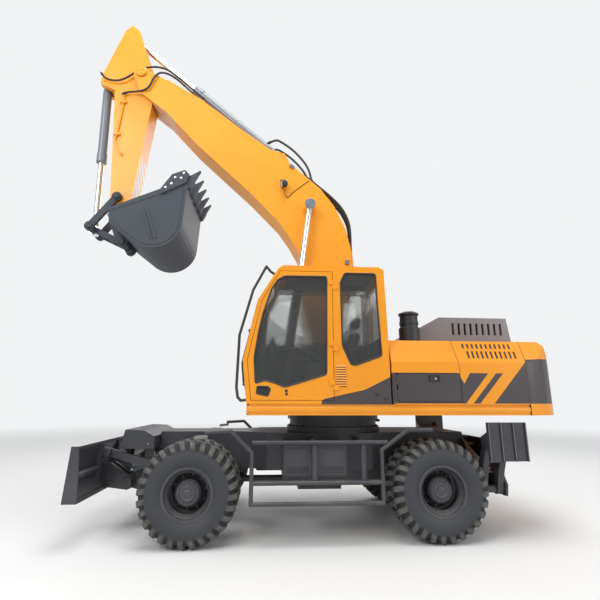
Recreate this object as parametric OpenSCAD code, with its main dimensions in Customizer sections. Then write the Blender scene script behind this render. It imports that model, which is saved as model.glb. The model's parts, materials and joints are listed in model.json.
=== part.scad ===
// Wheeled excavator with twin tyres, dozer blade, folding outriggers and a backhoe arm.
// Millimetres. +Z is up, the dozer blade faces -X and the cab side is -Y.
// Side-view points are [x, z] from the middle of the wheelbase at ground level, unless a comment says otherwise.

/* [Machine] */
// Offset of the wheelbase middle from the model's origin
axle_mid_x = 189.88; // [-400:0.005:600]
// Distance between the axles
wheelbase = 2800; // [2600:10:3000]
// Overall width over tyres, deck and blade
machine_w = 2500; // [2450:10:2560]
// Height of the deck's underside
deck_z = 1362; // [1340:1:1400]
// Slewing centre, ahead of or behind the wheelbase middle
slew_x = 350; // [300:1:400]
// Sideways offset of the arm from the centre plane
arm_y = 80; // [60:1:90]

/* [Tyres and wheels] */
// Outer radius of a tyre over its lugs
tyre_r = 545; // [520:1:550]
// Height of the lugs over the tread
lug_h = 22; // [10:1:30]
// Lug pairs around a tyre
lug_count = 28; // [20:4:32]
// Section width of a tyre
tyre_w = 272; // [250:1:280]
// Distance between the middles of the twin tyres
twin_pitch = 340; // [320:1:350]
// Radius of the rim's bead seat
rim_r = 262; // [250:1:270]
// Radius of the hub cover
hub_r = 142; // [120:1:150]

/* [Chassis] */
// Underside of the chassis frame
frame_bottom_z = 690; // [680:1:720]
// Top plate of the chassis frame
frame_top_z = 1130; // [1110:1:1140]
// Radius of the slewing ring
slew_r = 640; // [600:1:660]
// Radius of the axle tubes
axle_tube_r = 95; // [80:1:110]
// Diameter of the step tubes
step_tube = 46; // [40:1:56]

/* [Blade] */
// Height of the blade
blade_h = 570; // [520:5:600]
// Bottom edge of the raised blade
blade_z = 470; // [450:1:500]
// Length of the blade's links between pins
blade_link = 519; // [500:1:540]
// Slope of the raised links
blade_link_slope = 15.6; // [12:0.1:18]

/* [Outriggers] */
// Length of an outrigger leg between pins
leg_length = 626; // [600:1:640]
// Lean of the folded leg from the vertical
leg_lean = 24.5; // [20:0.5:26]
// Size of the square foot pad along the machine
pad_x = 470; // [440:5:480]
// Size of the foot pad up the machine
pad_z = 427; // [400:1:440]

/* [Arm] */
// Boom foot pin from the wheelbase middle
boom_foot_x = 300; // [280:1:320]
// Boom foot pin over the ground
boom_foot_z = 2050; // [2030:1:2070]
// Boom length between pins
boom_length = 5561; // [5500:1:5600]
// Boom chord over the horizontal
boom_lift = 57.1; // [55:0.1:58]
// Boom width
boom_w = 480; // [460:1:490]
// Stick length between the boom pin and the bucket pin
stick_length = 2633; // [2600:1:2660]
// Turn of the stick from the boom's chord, folded in
stick_turn = -144.3; // [-146:0.1:-143]
// Stick width
stick_w = 340; // [320:1:350]
// Turn of the bucket from the stick, curled
bucket_turn = -124.6; // [-126:0.1:-123]
// Bucket width
bucket_w = 1200; // [1100:5:1240]
// Teeth on the bucket
tooth_count = 5; // [4:1:6]

/* [Cylinders] */
// Outer radius of the boom cylinders
boom_cyl_r = 64; // [58:1:66]
// Outer radius of the arm cylinder
arm_cyl_r = 78; // [70:1:80]
// Outer radius of the bucket cylinder
bucket_cyl_r = 68; // [60:1:74]
// Radius of the piston rods
rod_r = 42; // [36:1:46]

/* [Cab and body] */
// Width of the cab
cab_w = 872; // [840:1:880]
// Roof of the cab
roof_z = 3130; // [3100:1:3170]
// Thickness of the cab's walls and door
cab_wall = 45; // [35:1:50]
// Thickness of the window glass
glass_t = 6; // [5:1:8]
// Top of the engine housing
hood_z = 2240; // [2220:1:2260]
// Thickness of the engine housing's panels
hood_wall = 30; // [20:1:36]
// Height of the deck's rounded skirt
skirt_h = 122; // [110:1:126]
// Rear end of the counterweight
tail_x = 3022; // [3000:1:3080]

/* [Clearances] */
// Gap at a seat between two pieces
seat = 0.3; // [0.2:0.05:0.4]
// Radial clearance of a pin in its bore
pin_fit = 0.08; // [0.03:0.01:0.09]
// Gap around doors and lids
door_gap = 6; // [5:1:9]
// Gap between moving pieces side by side
side_gap = 6; // [5:1:8]

/* [Hidden] */
$fn = 48;
eps = 1;
half_w = machine_w / 2;
front_x = -wheelbase / 2;
rear_x = wheelbase / 2;
yellow = [1, 0.62, 0.05];
dark = [0.29, 0.3, 0.34];
silver = [0.55, 0.53, 0.55];
chrome = [0.85, 0.86, 0.88];
black = [0.1, 0.1, 0.11];
glass = [0.5, 0.6, 0.65, 0.35];

// Turns a side-view point about the origin by a degrees, nose up for positive a.
function turn_pt(p, a) = [p[0] * cos(a) + p[1] * sin(a), p[1] * cos(a) - p[0] * sin(a)];
// Points of an arc from angle a0 to a1 in n steps.
function arc(c, r, a0, a1, n) = [for (i = [0:n]) c + r * [cos(a0 + (a1 - a0) * i / n), sin(a0 + (a1 - a0) * i / n)]];
function edge_normal(a, b) = let (d = b - a) [-d[1], d[0]] / norm(d);
// A counter-clockwise outline moved inwards by d.
function inset(p, d) = [for (i = [0:len(p) - 1])
  let (a = p[(i + len(p) - 1) % len(p)], b = p[i], c = p[(i + 1) % len(p)],
       n1 = edge_normal(a, b), n2 = edge_normal(b, c))
  b + (n1 + n2) * d / (1 + n1 * n2)];

// Side-view outline, t wide and centred on y.
module side(t, y = 0) translate([0, y, 0]) rotate([90, 0, 0]) linear_extrude(t, center = true) children();
// End-view outline of [y, z] points, drawn along X from x0 to x1.
module along_x(x0, x1) translate([x0, 0, 0]) rotate([90, 0, 90]) linear_extrude(x1 - x0) children();
module box(lo, hi) translate(lo) cube(hi - lo);
// Round bar along Y, centred on y, at a side-view point.
module bar_y(p, r, t, y = 0) translate([p[0], y, p[1]]) rotate([90, 0, 0]) cylinder(r = r, h = t, center = true);
module both_sides() {
  children();
  mirror([0, 1, 0]) children();
}
module at_mid() translate([axle_mid_x, 0, 0]) children();
// The frame of a link that starts at side-view point a, with +X along it towards b.
module along(a, b) translate([a[0], 0, a[1]]) rotate([0, -atan2(b[1] - a[1], b[0] - a[0]), 0]) children();
// Round tube through 3-D points.
module tube(pts, r) for (i = [0:len(pts) - 2]) {
  d = pts[i + 1] - pts[i];
  translate(pts[i]) rotate([0, acos(d[2] / norm(d)), atan2(d[1], d[0])]) cylinder(r = r, h = norm(d), $fn = 24);
  if (i > 0) translate(pts[i]) sphere(r = r * 1.02, $fn = 24);
}

// Chassis

// Half of the frame in plan: station along X, half width.
frame_plan = [[-1930, 320], [-900, 330], [-560, 560], [-60, 630], [760, 630], [1050, 520], [1990, 500]];
outrig_x0 = 1965;
outrig_x1 = 2300;
outrig_plate = 25;
leg_foot = [half_w - 410, 500];
module plan_outline(t) polygon(concat([for (p = t) [p[0], -p[1]]], [for (i = [len(t) - 1:-1:0]) [t[i][0], t[i][1]]]));
// Outline of an outrigger cross plate as [y, z].
module outrigger_outline() polygon([[320 - half_w, 430], [half_w - 320, 430], [half_w - 290, 560], [half_w - 350, 640], [560, 1050],
  [-560, 1050], [350 - half_w, 640], [290 - half_w, 560]]);
module chassis_frame() color(dark) at_mid() {
  difference() {
    union() {
      translate([0, 0, frame_bottom_z]) linear_extrude(frame_top_z - frame_bottom_z) plan_outline(frame_plan);
      box([-360, -500, 560], [900, 500, frame_bottom_z + eps]);
      for (x = [outrig_x0, outrig_x1 - outrig_plate]) along_x(x, x + outrig_plate) outrigger_outline();
      box([outrig_x0, -700, 430], [outrig_x1, 700, 455]);
      box([outrig_x0, -90, 430], [outrig_x1, 90, 1050]);
      box([-1980, -375, 330], [-1660, 375, frame_bottom_z + eps]);
      box([-1990, -320, frame_bottom_z], [-1920, 320, cover_side[0][1] - seat]);
    }
    box([front_x - 190, -400, 0], [front_x + 190, 400, frame_bottom_z + 50]);
    box([rear_x - 195, -135, 0], [rear_x + 195, 135, frame_bottom_z + 50]);
    box([-2000, -225, 300], [-1690, 225, 480]);
    for (s = [-1, 1]) box([-2000, s * 300 - 30, 300], [-1690, s * 300 + 30, 530]);
    box([-2000, -85, 470], [-1820, 85, cover_side[0][1]]);
    both_sides() bar_y(blade_low_chassis, 40 + pin_fit, 144, 300);
    both_sides() translate([outrig_x0 - eps, leg_foot[0], leg_foot[1]]) rotate([0, 90, 0])
      cylinder(r = 35 + pin_fit, h = outrig_x1 - outrig_x0 + 2 * eps);
  }
  bar_y(blade_cyl_base, 25, 172);
}

blade_up_chassis = [-2000, 775];
blade_low_chassis = [-1780, 390];
blade_vec = blade_link * [-cos(blade_link_slope), sin(blade_link_slope)];
blade_up = blade_up_chassis + blade_vec;
blade_low = blade_low_chassis + blade_vec;
cover_side = [[-2348, 951], [-1930 - seat, 951], [-1941, 1094], [-2069, 1163], [-2291, 1173]];
module front_cover() color(dark) at_mid() {
  difference() {
    side(1240) polygon(cover_side);
    side(980) polygon([[-2310, 940], [-2030, 940], [-2070, 1110], [-2270, 1120]]);
  }
  both_sides() side(22, -519) polygon([[-2060, 952], [-1945, 952], [-1945, 745], [-1975, 715], [-2025, 715], [-2060, 745]]);
  both_sides() bar_y(blade_up_chassis, 28, 66, -561);
}

axle_z = tyre_r;
king_y = 600;
twin_out = half_w - tyre_w / 2;
twin_in = twin_out - twin_pitch;
spindle_end = twin_out - 140 - seat;
module axle_beam(x, y_end) {
  translate([x, 0, axle_z]) rotate([90, 0, 0]) {
    cylinder(r = axle_tube_r, h = 2 * y_end, center = true);
    rotate_extrude() polygon([[0, -120], [120, -110], [185, -60], [185, 60], [120, 110], [0, 120]]);
  }
}
module front_axle() color(dark) at_mid() {
  axle_beam(front_x, king_y - 60);
  translate([front_x, 0, 0]) box([-90, -120, axle_z + 60], [90, 120, frame_bottom_z + 50 - seat]);
  both_sides() difference() {
    translate([front_x, king_y, axle_z - 85]) cylinder(r = 62, h = 170);
    translate([front_x, king_y, axle_z - 90]) cylinder(r = 32 + pin_fit, h = 180);
  }
}
module rear_axle() color(dark) at_mid() {
  axle_beam(rear_x, 640);
  both_sides() translate([rear_x, 0, 0]) box([-80, 380, axle_z + 60], [80, 470, frame_bottom_z - seat]);
  both_sides() translate([rear_x, 600, axle_z]) rotate([-90, 0, 0]) cylinder(r = 60, h = spindle_end - 600);
}
module driveline() color(dark) at_mid() {
  box([-150, -240, 400], [420, 200, 560 - seat]);
  translate([-1214, 0, 500]) rotate([0, 90, 0]) cylinder(r = 42, h = 1064 - seat);
  translate([420 + seat, 0, 500]) rotate([0, 90, 0]) cylinder(r = 42, h = 794);
}
module slew_ring() color(black) at_mid() translate([slew_x, 0, frame_top_z + seat])
  rotate_extrude() polygon([[430, 0], [slew_r, 0], [slew_r, 60], [slew_r - 40, 60], [slew_r - 40, 150],
    [slew_r - 10, 150], [slew_r - 10, deck_z - frame_top_z - 2 * seat], [430, deck_z - frame_top_z - 2 * seat]]);

// Stores and steps between the wheels on both sides: x0, x1, z0, z1 of the store.
store = [-377, 349, 698, 1044];
module side_boxes() color(dark) at_mid() both_sides() difference() {
  box([store[0], -1120, store[2]], [store[1], -630 - seat, store[3]]);
  for (z = [742, 766, 790]) for (x = [-340, 60])
    box([x, -1130, z], [x + 250, -1112, z + 12]);
}
step_y = 1205;
module step_bar(a, b) {
  along(a, b) translate([0, -step_y, 0]) rotate([0, 90, 0]) cylinder(r = step_tube / 2, h = norm(b - a), $fn = 24);
}
// Bars of one step frame: start x, z and end x, z.
step_bars = [[-1244, 1173, -960, 1189], [-960, 1189, -720, 961], [-720, 961, -720, 436],
  [1330, 1200, 1040, 1200], [1040, 1200, 731, 985], [731, 985, 731, 436],
  [-720, 1068, 800, 1068], [-720, 646, 731, 646], [-720, 436, 731, 436]];
module side_steps() color(dark) at_mid() both_sides() {
  for (b = step_bars) step_bar([b[0], b[1]], [b[2], b[3]]);
  for (p = [[-960, 1189], [-720, 961], [-720, 436], [1040, 1200], [731, 985], [731, 436]])
    translate([p[0], -step_y, p[1]]) sphere(r = step_tube / 2 + 0.5, $fn = 24);
  for (x = [-50, 500]) box([x, -step_y, 1050], [x + 50, -630 - seat, 1086]);
  for (x = [-50, 500]) box([x, -step_y + 10, 628], [x + 50, -1160, 1068]);
  box([-700, -step_y, 644], [720, -1130, 668]);
}

// Knuckle, left one; the right one is its mirror.
module knuckle() {
  for (s = [-1, 1]) translate([front_x, -king_y, axle_z + s * 115 - 28]) cylinder(r = 54, h = 56);
  translate([front_x, -king_y, axle_z - 143]) box([-60, -100, 0], [60, -72, 286]);
  for (s = [87, -143]) translate([front_x, -king_y, axle_z + s]) box([-52, -100, 0], [52, 0, 56]);
  translate([front_x, -king_y - 90, axle_z]) rotate([90, 0, 0]) cylinder(r = 60, h = spindle_end - king_y - 90);
  translate([front_x, -king_y, axle_z - 150]) cylinder(r = 32, h = 300);
  for (s = [-156, 143]) translate([front_x, -king_y, axle_z + s]) cylinder(r = 48, h = 13);
}
module knuckle_left() color(dark) at_mid() knuckle();
module knuckle_right() color(dark) at_mid() mirror([0, 1, 0]) knuckle();

// Half section of one tyre as [radius, y across]: bead, sidewall, shoulder and crown.
tyre_section = [[rim_r + 2, -100], [rim_r + 20, -100], [rim_r + 40, -118], [rim_r + 120, -tyre_w / 2], [rim_r + 180, -tyre_w / 2 + 4],
  [tyre_r - lug_h - 34, -tyre_w / 2 + 16], [tyre_r - lug_h, -tyre_w / 2 + 34], [tyre_r - lug_h, tyre_w / 2 - 34],
  [tyre_r - lug_h - 34, tyre_w / 2 - 16], [rim_r + 180, tyre_w / 2 - 4], [rim_r + 120, tyre_w / 2],
  [rim_r + 40, 118], [rim_r + 20, 100], [rim_r + 2, 100], [rim_r + 20, 80], [rim_r + 20, -80]];
// Outline of the tread seen from the side: a flat-topped block for every lug, the lowest one flat on the ground.
lug_turn = 360 / lug_count;
lug_top = tyre_r / cos(0.27 * lug_turn);
lug_foot = tyre_r - lug_h - 8;
lug_ring = [for (i = [0:lug_count - 1]) for (p = [[lug_foot, -0.34], [lug_top, -0.27], [lug_top, 0.27], [lug_foot, 0.34]])
  let (a = 270 + (i + p[1]) * lug_turn) p[0] * [cos(a), sin(a)]];
module tyre(x, y) translate([x, y, axle_z]) rotate([90, 0, 0]) {
  rotate_extrude() polygon(tyre_section);
  difference() {
    linear_extrude(tyre_w - 40, center = true) polygon(lug_ring);
    cylinder(r = rim_r + 120, h = tyre_w, center = true);
  }
}
module twin(x) {
  tyre(x, -twin_out);
  tyre(x, -twin_in);
}
module tyres_front_left() color(black) at_mid() twin(front_x);
module tyres_front_right() color(black) at_mid() mirror([0, 1, 0]) twin(front_x);
module tyres_rear_left() color(black) at_mid() twin(rear_x);
module tyres_rear_right() color(black) at_mid() mirror([0, 1, 0]) twin(rear_x);

// Half section of a twin rim with its hub as [radius, y outwards], from the inner rim to the hub cover.
ri = rim_r + 2 - seat;
rim_section = [[ri - 14, -twin_in + 104], [ri + 16, -twin_in + 104], [ri + 16, -twin_in + 100 + seat],
  [ri, -twin_in + 100 + seat], [ri, -twin_out - 100 - seat], [ri + 16, -twin_out - 100 - seat], [ri + 16, -twin_out - 106],
  [ri - 14, -twin_out - 106], [ri - 30, -twin_out + 110], [205, -twin_out + 120], [hub_r + 6, -twin_out + 70],
  [hub_r, -twin_out - 20], [hub_r - 22, -twin_out - 52], [60, -twin_out - 62], [0, -twin_out - 62],
  [0, -twin_out + 140], [60 + pin_fit, -twin_out + 140], [60 + pin_fit, -twin_out + 236],
  [hub_r, -twin_out + 236], [hub_r, -twin_out + 160], [ri - 14, -twin_out + 150]];
module twin_rims(x) translate([x, 0, axle_z]) rotate([-90, 0, 0]) rotate_extrude() polygon(rim_section);
module rims_front_left() color(dark) at_mid() twin_rims(front_x);
module rims_front_right() color(dark) at_mid() mirror([0, 1, 0]) twin_rims(front_x);
module rims_rear_left() color(dark) at_mid() twin_rims(rear_x);
module rims_rear_right() color(dark) at_mid() mirror([0, 1, 0]) twin_rims(rear_x);

// Blade

// The moldboard's section: a curved plate, concave to the front.
blade_top = blade_z + blade_h;
module blade() color(dark) at_mid() {
  difference() {
    union() {
      difference() {
        side(machine_w) polygon([[-2672, blade_z], [-2520, blade_z], [-2528, blade_z + 240], [-2556, blade_top], [-2636, blade_top]]);
        side(machine_w - 40) polygon(concat([[-2640, blade_z - eps], [-2800, blade_z - eps], [-2800, blade_top + eps], [-2628, blade_top + eps]],
          [for (p = arc([-2100, blade_z + 330], 520, 146, 212, 10)) p]));
        both_sides() side(machine_w / 2 - 40, -half_w / 2 - 5) polygon([[-2500, blade_z + 40], [-2500, blade_top - 30],
          [-2560, blade_top - 30], [-2598, blade_z + 400], [-2604, blade_z + 240], [-2590, blade_z + 60]]);
      }
      for (y = [-600, -520, 520, 600]) side(22, y + (y > 0 ? 1 : -1) * (abs(y) > 560 ? 4 : -2)) polygon([[-2606, 800], [-2606, 1000],
        [blade_up[0] + 40, blade_up[1] + 60], [blade_up[0] + 60, blade_up[1]], [blade_up[0] + 40, blade_up[1] - 60]]);
      for (y = [-378, -222, 222, 378]) side(36, y) polygon([[-2606, blade_z + 20], [-2606, 760], [-2500, 760],
        [blade_low[0] + 60, blade_low[1] + 50], [blade_low[0] + 60, blade_low[1] - 60], [blade_low[0], blade_low[1] - 85]]);
      for (y = [-70, 70]) side(24, y) polygon([[-2606, 520], [-2606, 740], [blade_eye[0] + 40, blade_eye[1] + 40],
        [blade_eye[0] + 40, blade_eye[1] - 40]]);
    }
    for (y = [-560, 560]) bar_y(blade_up, 28 + pin_fit, 140, y);
    for (y = [-300, 300]) bar_y(blade_low, 40 + pin_fit, 240, y);
  }
  for (y = [-70, 70]) bar_y(blade_eye, 38, 40, y + (y > 0 ? 20 : -20));
}
blade_eye = [-2400, 640];
module blade_arms() color(dark) at_mid() for (y = [-300, 300]) {
  bar_y(blade_low, 78, 108, y);
  bar_y(blade_low_chassis, 78, 46, y);
  along(blade_low, blade_low_chassis) translate([40, y, 0]) box([0, -23, -60], [blade_link - 80, 23, 60]);
  bar_y(blade_low, 40, 230, y);
  bar_y(blade_low_chassis, 40, 140, y);
}
module blade_links() color(dark) at_mid() for (y = [-560, 560]) {
  difference() {
    union() {
      bar_y(blade_up, 58, 44, y);
      bar_y(blade_up_chassis, 55, 44, y);
      along(blade_up, blade_up_chassis) translate([30, y, 0]) box([0, -22, -46], [blade_link - 60, 22, 46]);
    }
    bar_y(blade_up_chassis, 28 + pin_fit, 140, y);
  }
  bar_y(blade_up, 28, 140, y);
}

// Hydraulic cylinders. Each lies from base pin a to rod pin b; the barrel is barrel_l long.
module barrel(a, b, r, eye_r, eye_w, barrel_l, y, pin) translate([0, y, 0]) {
  difference() {
    union() {
      bar_y(a, eye_r, eye_w);
      along(a, b) rotate([0, 90, 0]) {
        translate([0, 0, eye_r * 0.6]) cylinder(r = min(r, eye_w / 2 - 2), h = eye_r);
        translate([0, 0, eye_r + 20]) cylinder(r = r, h = barrel_l - eye_r - 130);
        translate([0, 0, barrel_l - 150]) cylinder(r = r + 8, h = 150);
      }
    }
    along(a, b) rotate([0, 90, 0]) translate([0, 0, 130 + eye_r * 0.6]) cylinder(r = rod_r + pin_fit, h = barrel_l);
    if (pin > 0) bar_y(a, pin + pin_fit, eye_w + 10);
  }
}
// The rod's eye is closed; the pin's ends show on the ears beside it.
module rod(a, b, eye_r, eye_w, rod_l, y) translate([0, y, 0]) {
  bar_y(b, eye_r, eye_w);
  along(b, a) rotate([0, 90, 0]) translate([0, 0, eye_r * 0.6]) cylinder(r = rod_r, h = rod_l - eye_r * 0.6);
}
blade_cyl_base = [-1890, 800];
blade_cyl_l = norm(blade_eye - blade_cyl_base);
module blade_barrel() color(silver) at_mid() barrel(blade_cyl_base, blade_eye, 52, 46, 90, 470, 0, 25);
module blade_rod() color(chrome) at_mid() rod(blade_cyl_base, blade_eye, 44, 100, blade_cyl_l - 165, 0);

// Outriggers, left one; the right one is its mirror. Points are [y, z].
pad_pin = leg_foot + leg_length * [sin(leg_lean), cos(leg_lean)];
leg_eye = leg_foot + [-52, 193];
leg_base = [200, 950];
leg_x0 = outrig_x0 + outrig_plate + side_gap;
leg_x1 = outrig_x1 - outrig_plate - side_gap;
leg_mid = (leg_x0 + leg_x1) / 2;
module leg() {
  difference() {
    union() {
      along_x(leg_x0, leg_x1) polygon([[-leg_foot[0] - 62, leg_foot[1] - 20], [-leg_foot[0] + 62, leg_foot[1] - 20],
        [-leg_eye[0] + 52, leg_eye[1] - 20], [-leg_eye[0] + 46, leg_eye[1] + 32], [-leg_foot[0] - 40, leg_eye[1] + 110],
        [-pad_pin[0] + 42, pad_pin[1] + 20], [-pad_pin[0] - 42, pad_pin[1] + 20], [-leg_foot[0] - 120, leg_foot[1] + 200]]);
      translate([leg_x0, -leg_foot[0], leg_foot[1]]) rotate([0, 90, 0]) cylinder(r = 62, h = leg_x1 - leg_x0);
      translate([leg_x0, -pad_pin[0], pad_pin[1]]) rotate([0, 90, 0]) cylinder(r = 46, h = leg_x1 - leg_x0);
    }
    box([leg_mid - 62, -1100, 400], [leg_mid + 62, -600, leg_eye[1] + 120]);
    translate([leg_x0 - eps, -pad_pin[0], pad_pin[1]]) rotate([0, 90, 0]) cylinder(r = 22 + pin_fit, h = 400);
  }
  translate([leg_x0, -leg_foot[0], leg_foot[1]]) rotate([0, 90, 0]) cylinder(r = 46, h = leg_x1 - leg_x0);
  translate([outrig_x0 - 14, -leg_foot[0], leg_foot[1]]) rotate([0, 90, 0]) cylinder(r = 35, h = outrig_x1 - outrig_x0 + 28);
}
module pad() {
  y = half_w - 22;
  box([outrig_x0, -y, 856], [outrig_x0 + pad_x, -y + 18, 856 + pad_z]);
  for (i = [0:3]) {
    x = outrig_x0 + 8 + i * (pad_x - 30) / 3;
    box([x, -half_w + 2, 856], [x + 14, -y + 4, 856 + pad_z]);
  }
  for (x = [leg_x0 - 26 - side_gap, leg_x1 + side_gap])
    along_x(x, x + 26) polygon([[-y + 4, pad_pin[1] - 110], [-y + 4, pad_pin[1] + 110], [-pad_pin[0] + 40, pad_pin[1] + 40], [-pad_pin[0] + 40, pad_pin[1] - 40]]);
  translate([leg_x0 - 26 - side_gap, -pad_pin[0], pad_pin[1]]) rotate([0, 90, 0]) cylinder(r = 22, h = leg_x1 - leg_x0 + 52 + 2 * side_gap);
}
// Turns a module drawn in the side view with x as -y into the outrigger's own plane.
module outrigger_plane() translate([leg_mid, 0, 0]) rotate([0, 0, 90]) children();
leg_base_pt = [-leg_base[0], leg_base[1]];
leg_eye_pt = [-leg_eye[0], leg_eye[1]];
leg_cyl_l = norm(leg_eye - leg_base);
module leg_barrel() outrigger_plane() {
  barrel(leg_base_pt, leg_eye_pt, 46, 40, 100, 560, 0, 0);
  bar_y(leg_base_pt, 20, outrig_x1 - outrig_x0 - 2 * outrig_plate - 2 * seat);
}
module leg_rod() outrigger_plane() rod(leg_base_pt, leg_eye_pt, 40, 100, leg_cyl_l - 165, 0);
module leg_left() color(dark) at_mid() leg();
module leg_right() color(dark) at_mid() mirror([0, 1, 0]) leg();
module pad_left() color(dark) at_mid() pad();
module pad_right() color(dark) at_mid() mirror([0, 1, 0]) pad();
module leg_barrel_left() color(silver) at_mid() leg_barrel();
module leg_barrel_right() color(silver) at_mid() mirror([0, 1, 0]) leg_barrel();
module leg_rod_left() color(chrome) at_mid() leg_rod();
module leg_rod_right() color(chrome) at_mid() mirror([0, 1, 0]) leg_rod();

// Upper structure

deck_top = deck_z + skirt_h;
deck_front = -796;
hood_rear = 2521;
boom_foot = [boom_foot_x, boom_foot_z];
boom_cyl_foot = [-350, 1650];
boom_cyl_y = 360;
module deck() color(yellow) at_mid() {
  side(machine_w - 60) polygon([[deck_front + 30, deck_z], [hood_rear, deck_z], [hood_rear, deck_top], [deck_front + 30, deck_top]]);
  both_sides() along_x(deck_front, hood_rear) polygon(concat([[-half_w + 130, deck_top], [-half_w + 130, deck_z]],
    [for (p = arc([-half_w + 74, deck_z + skirt_h / 2], skirt_h / 2, 270, 90, 8)) [p[0] + 2, p[1]]]));
  for (s = [-1, 1]) bar_y(boom_cyl_foot, 40, 150, arm_y + s * boom_cyl_y);
  difference() {
    union() {
      for (y = [-1, 1]) side(40, arm_y + y * (boom_w / 2 + 30)) polygon([[-60, deck_top - 2], [850, deck_top - 2],
        [boom_foot[0] + 130, boom_foot[1] + 20], [boom_foot[0] + 60, boom_foot[1] + 115],
        [boom_foot[0] - 60, boom_foot[1] + 115], [boom_foot[0] - 130, boom_foot[1] + 20]]);
      for (y = [-1, 1]) for (s = [-1, 1]) side(24, arm_y + y * boom_cyl_y + s * 62) polygon([[-470, deck_top - 2], [-120, deck_top - 2],
        [boom_cyl_foot[0] + 80, boom_cyl_foot[1] + 20], [boom_cyl_foot[0] + 40, boom_cyl_foot[1] + 80],
        [boom_cyl_foot[0] - 40, boom_cyl_foot[1] + 80], [boom_cyl_foot[0] - 80, boom_cyl_foot[1] + 20]]);
    }
    bar_y(boom_foot, 55 + pin_fit, 800, arm_y);
  }
}
cw_side = [[hood_rear + seat, deck_z], [tail_x - 37, deck_z], [tail_x, deck_z + 68], [tail_x, 1700], [tail_x - 60, 1930],
  [tail_x - 115, 2080], [tail_x - 190, hood_z - 60], [tail_x - 260, hood_z], [hood_rear + seat, hood_z]];
tail_r = 500;
module counterweight() color(yellow) at_mid() intersection() {
  side(machine_w) polygon(cw_side);
  translate([0, 0, 1000]) linear_extrude(1500) polygon(concat([[hood_rear, half_w - 8], [hood_rear, -half_w + 8]],
    arc([tail_x - tail_r, -half_w + tail_r + 8], tail_r, 270, 350, 8), arc([tail_x - tail_r, half_w - tail_r - 8], tail_r, 10, 90, 8)));
  along_x(hood_rear, tail_x + eps) polygon([[-half_w + 8, deck_z - eps], [half_w - 8, deck_z - eps], [half_w - 8, 1970],
    [half_w - 130, hood_z + eps], [-half_w + 130, hood_z + eps], [-half_w + 8, 1970]]);
}
module engine() color(dark) at_mid() box([1750, -420, deck_top + seat], [2440, 420, 2100]);

hood_front = 880;
hood_end = [[-half_w + 8, deck_top + seat], [half_w - 8, deck_top + seat], [half_w - 8, 1970], [half_w - 130, hood_z],
  [-half_w + 130, hood_z], [-half_w + 8, 1970]];
cover_x0 = 1400;
cover_x1 = 2755;
cover_w = 1200;
door_x0 = 930;
door_x1 = 1700;
door_z0 = 1510;
door_z1 = 1843;
// Rows of slanted louvres: lower edge of the row, upper edge, first slot and slope along X.
louvre_rows = [[2103, 2168, 1800], [2005, 2070, 1836]];
module hood_panels() difference() {
  along_x(hood_front, hood_rear - seat) polygon(hood_end);
  along_x(hood_front + hood_wall, hood_rear - hood_wall) polygon(concat([for (p = inset(hood_end, hood_wall))
    [p[0], p[1] < 1600 ? 1000 : p[1]]]));
  box([cover_x0 + 80, -cover_w / 2 + 80, 2000], [hood_rear - 120, cover_w / 2 - 80, 2300]);
  both_sides() box([door_x0, -half_w - 10, door_z0], [door_x1, -half_w + 100, door_z1]);
  both_sides() for (row = louvre_rows) for (i = [0:10]) translate([row[2] + 58 * i, -half_w, row[0]])
    rotate([25, 0, 0]) linear_extrude(row[1] - row[0]) square([26, 300], center = true);
}
// Hinge lugs of the service doors, above and below each of the door's own barrels.
door_hinge = [door_x0 + 8, -half_w + 7];
module hood_with_lugs() {
  hood_panels();
  both_sides() for (z = [door_z0 + 80, door_z1 - 80]) for (s = [-1, 1]) translate([0, 0, z + s * (40 + seat)]) {
    translate([door_hinge[0], door_hinge[1], -15]) cylinder(r = 6, h = 30);
    box([door_x0 - 30, -half_w + 2, -15], [door_hinge[0], -half_w + 9, 15]);
  }
}
module hood() color(yellow) at_mid() hood_with_lugs();
cover_hinge = [cover_x1, hood_z + 9];
engine_cover_side = [[cover_x0, hood_z + seat], [cover_x1, hood_z + seat], [cover_x1 - 50, hood_z + 396], [cover_x0 + 353, hood_z + 399],
  [cover_x0 + 69, hood_z + 247], [cover_x0, hood_z + 210]];
module engine_cover() color(silver) at_mid() {
  difference() {
    side(cover_w) polygon(engine_cover_side);
    side(cover_w - 2 * hood_wall) polygon([for (p = inset(engine_cover_side, 28)) [p[0], p[1] < hood_z + 60 ? hood_z - 40 : p[1]]]);
    both_sides() for (i = [1:9]) let (x = cover_x1 - 75 - 83.75 * i)
      box([x, -cover_w / 2 - 10, hood_z + 159], [x + 33, -cover_w / 2 + 60, hood_z + 319]);
  }
  both_sides() bar_y(cover_hinge, 7, 120, -350);
}
module service_door() {
  difference() {
    box([door_x0 + 16, -half_w + 8, door_z0 + door_gap], [door_x1 - door_gap, -half_w + 8 + hood_wall, door_z1 - door_gap]);
    box([1314, -half_w, 1739], [1446, -half_w + 22, 1817]);
  }
  for (z = [door_z0 + 80, door_z1 - 80]) translate([0, 0, z - 25]) {
    translate(door_hinge) cylinder(r = 6, h = 50);
    box([door_hinge[0], -half_w + 2, 0], [door_x0 + 60, -half_w + 9, 50]);
  }
}
module service_door_left() color(dark) at_mid() service_door();
module service_door_right() color(dark) at_mid() mirror([0, 1, 0]) service_door();
module right_tanks() color(yellow) at_mid() {
  difference() {
    along_x(-700, hood_front - seat) polygon([[560, deck_top + seat], [half_w - 8, deck_top + seat], [half_w - 8, 1970], [half_w - 120, 2180], [560, 2180]]);
    box([-710, 540, 1900], [-300, 1300, 2300]);
    box([-310, 540, 2100], [-60, 1300, 2300]);
  }
  translate([500, 900, 2180]) cylinder(r = 60, h = 45);
}
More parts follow.
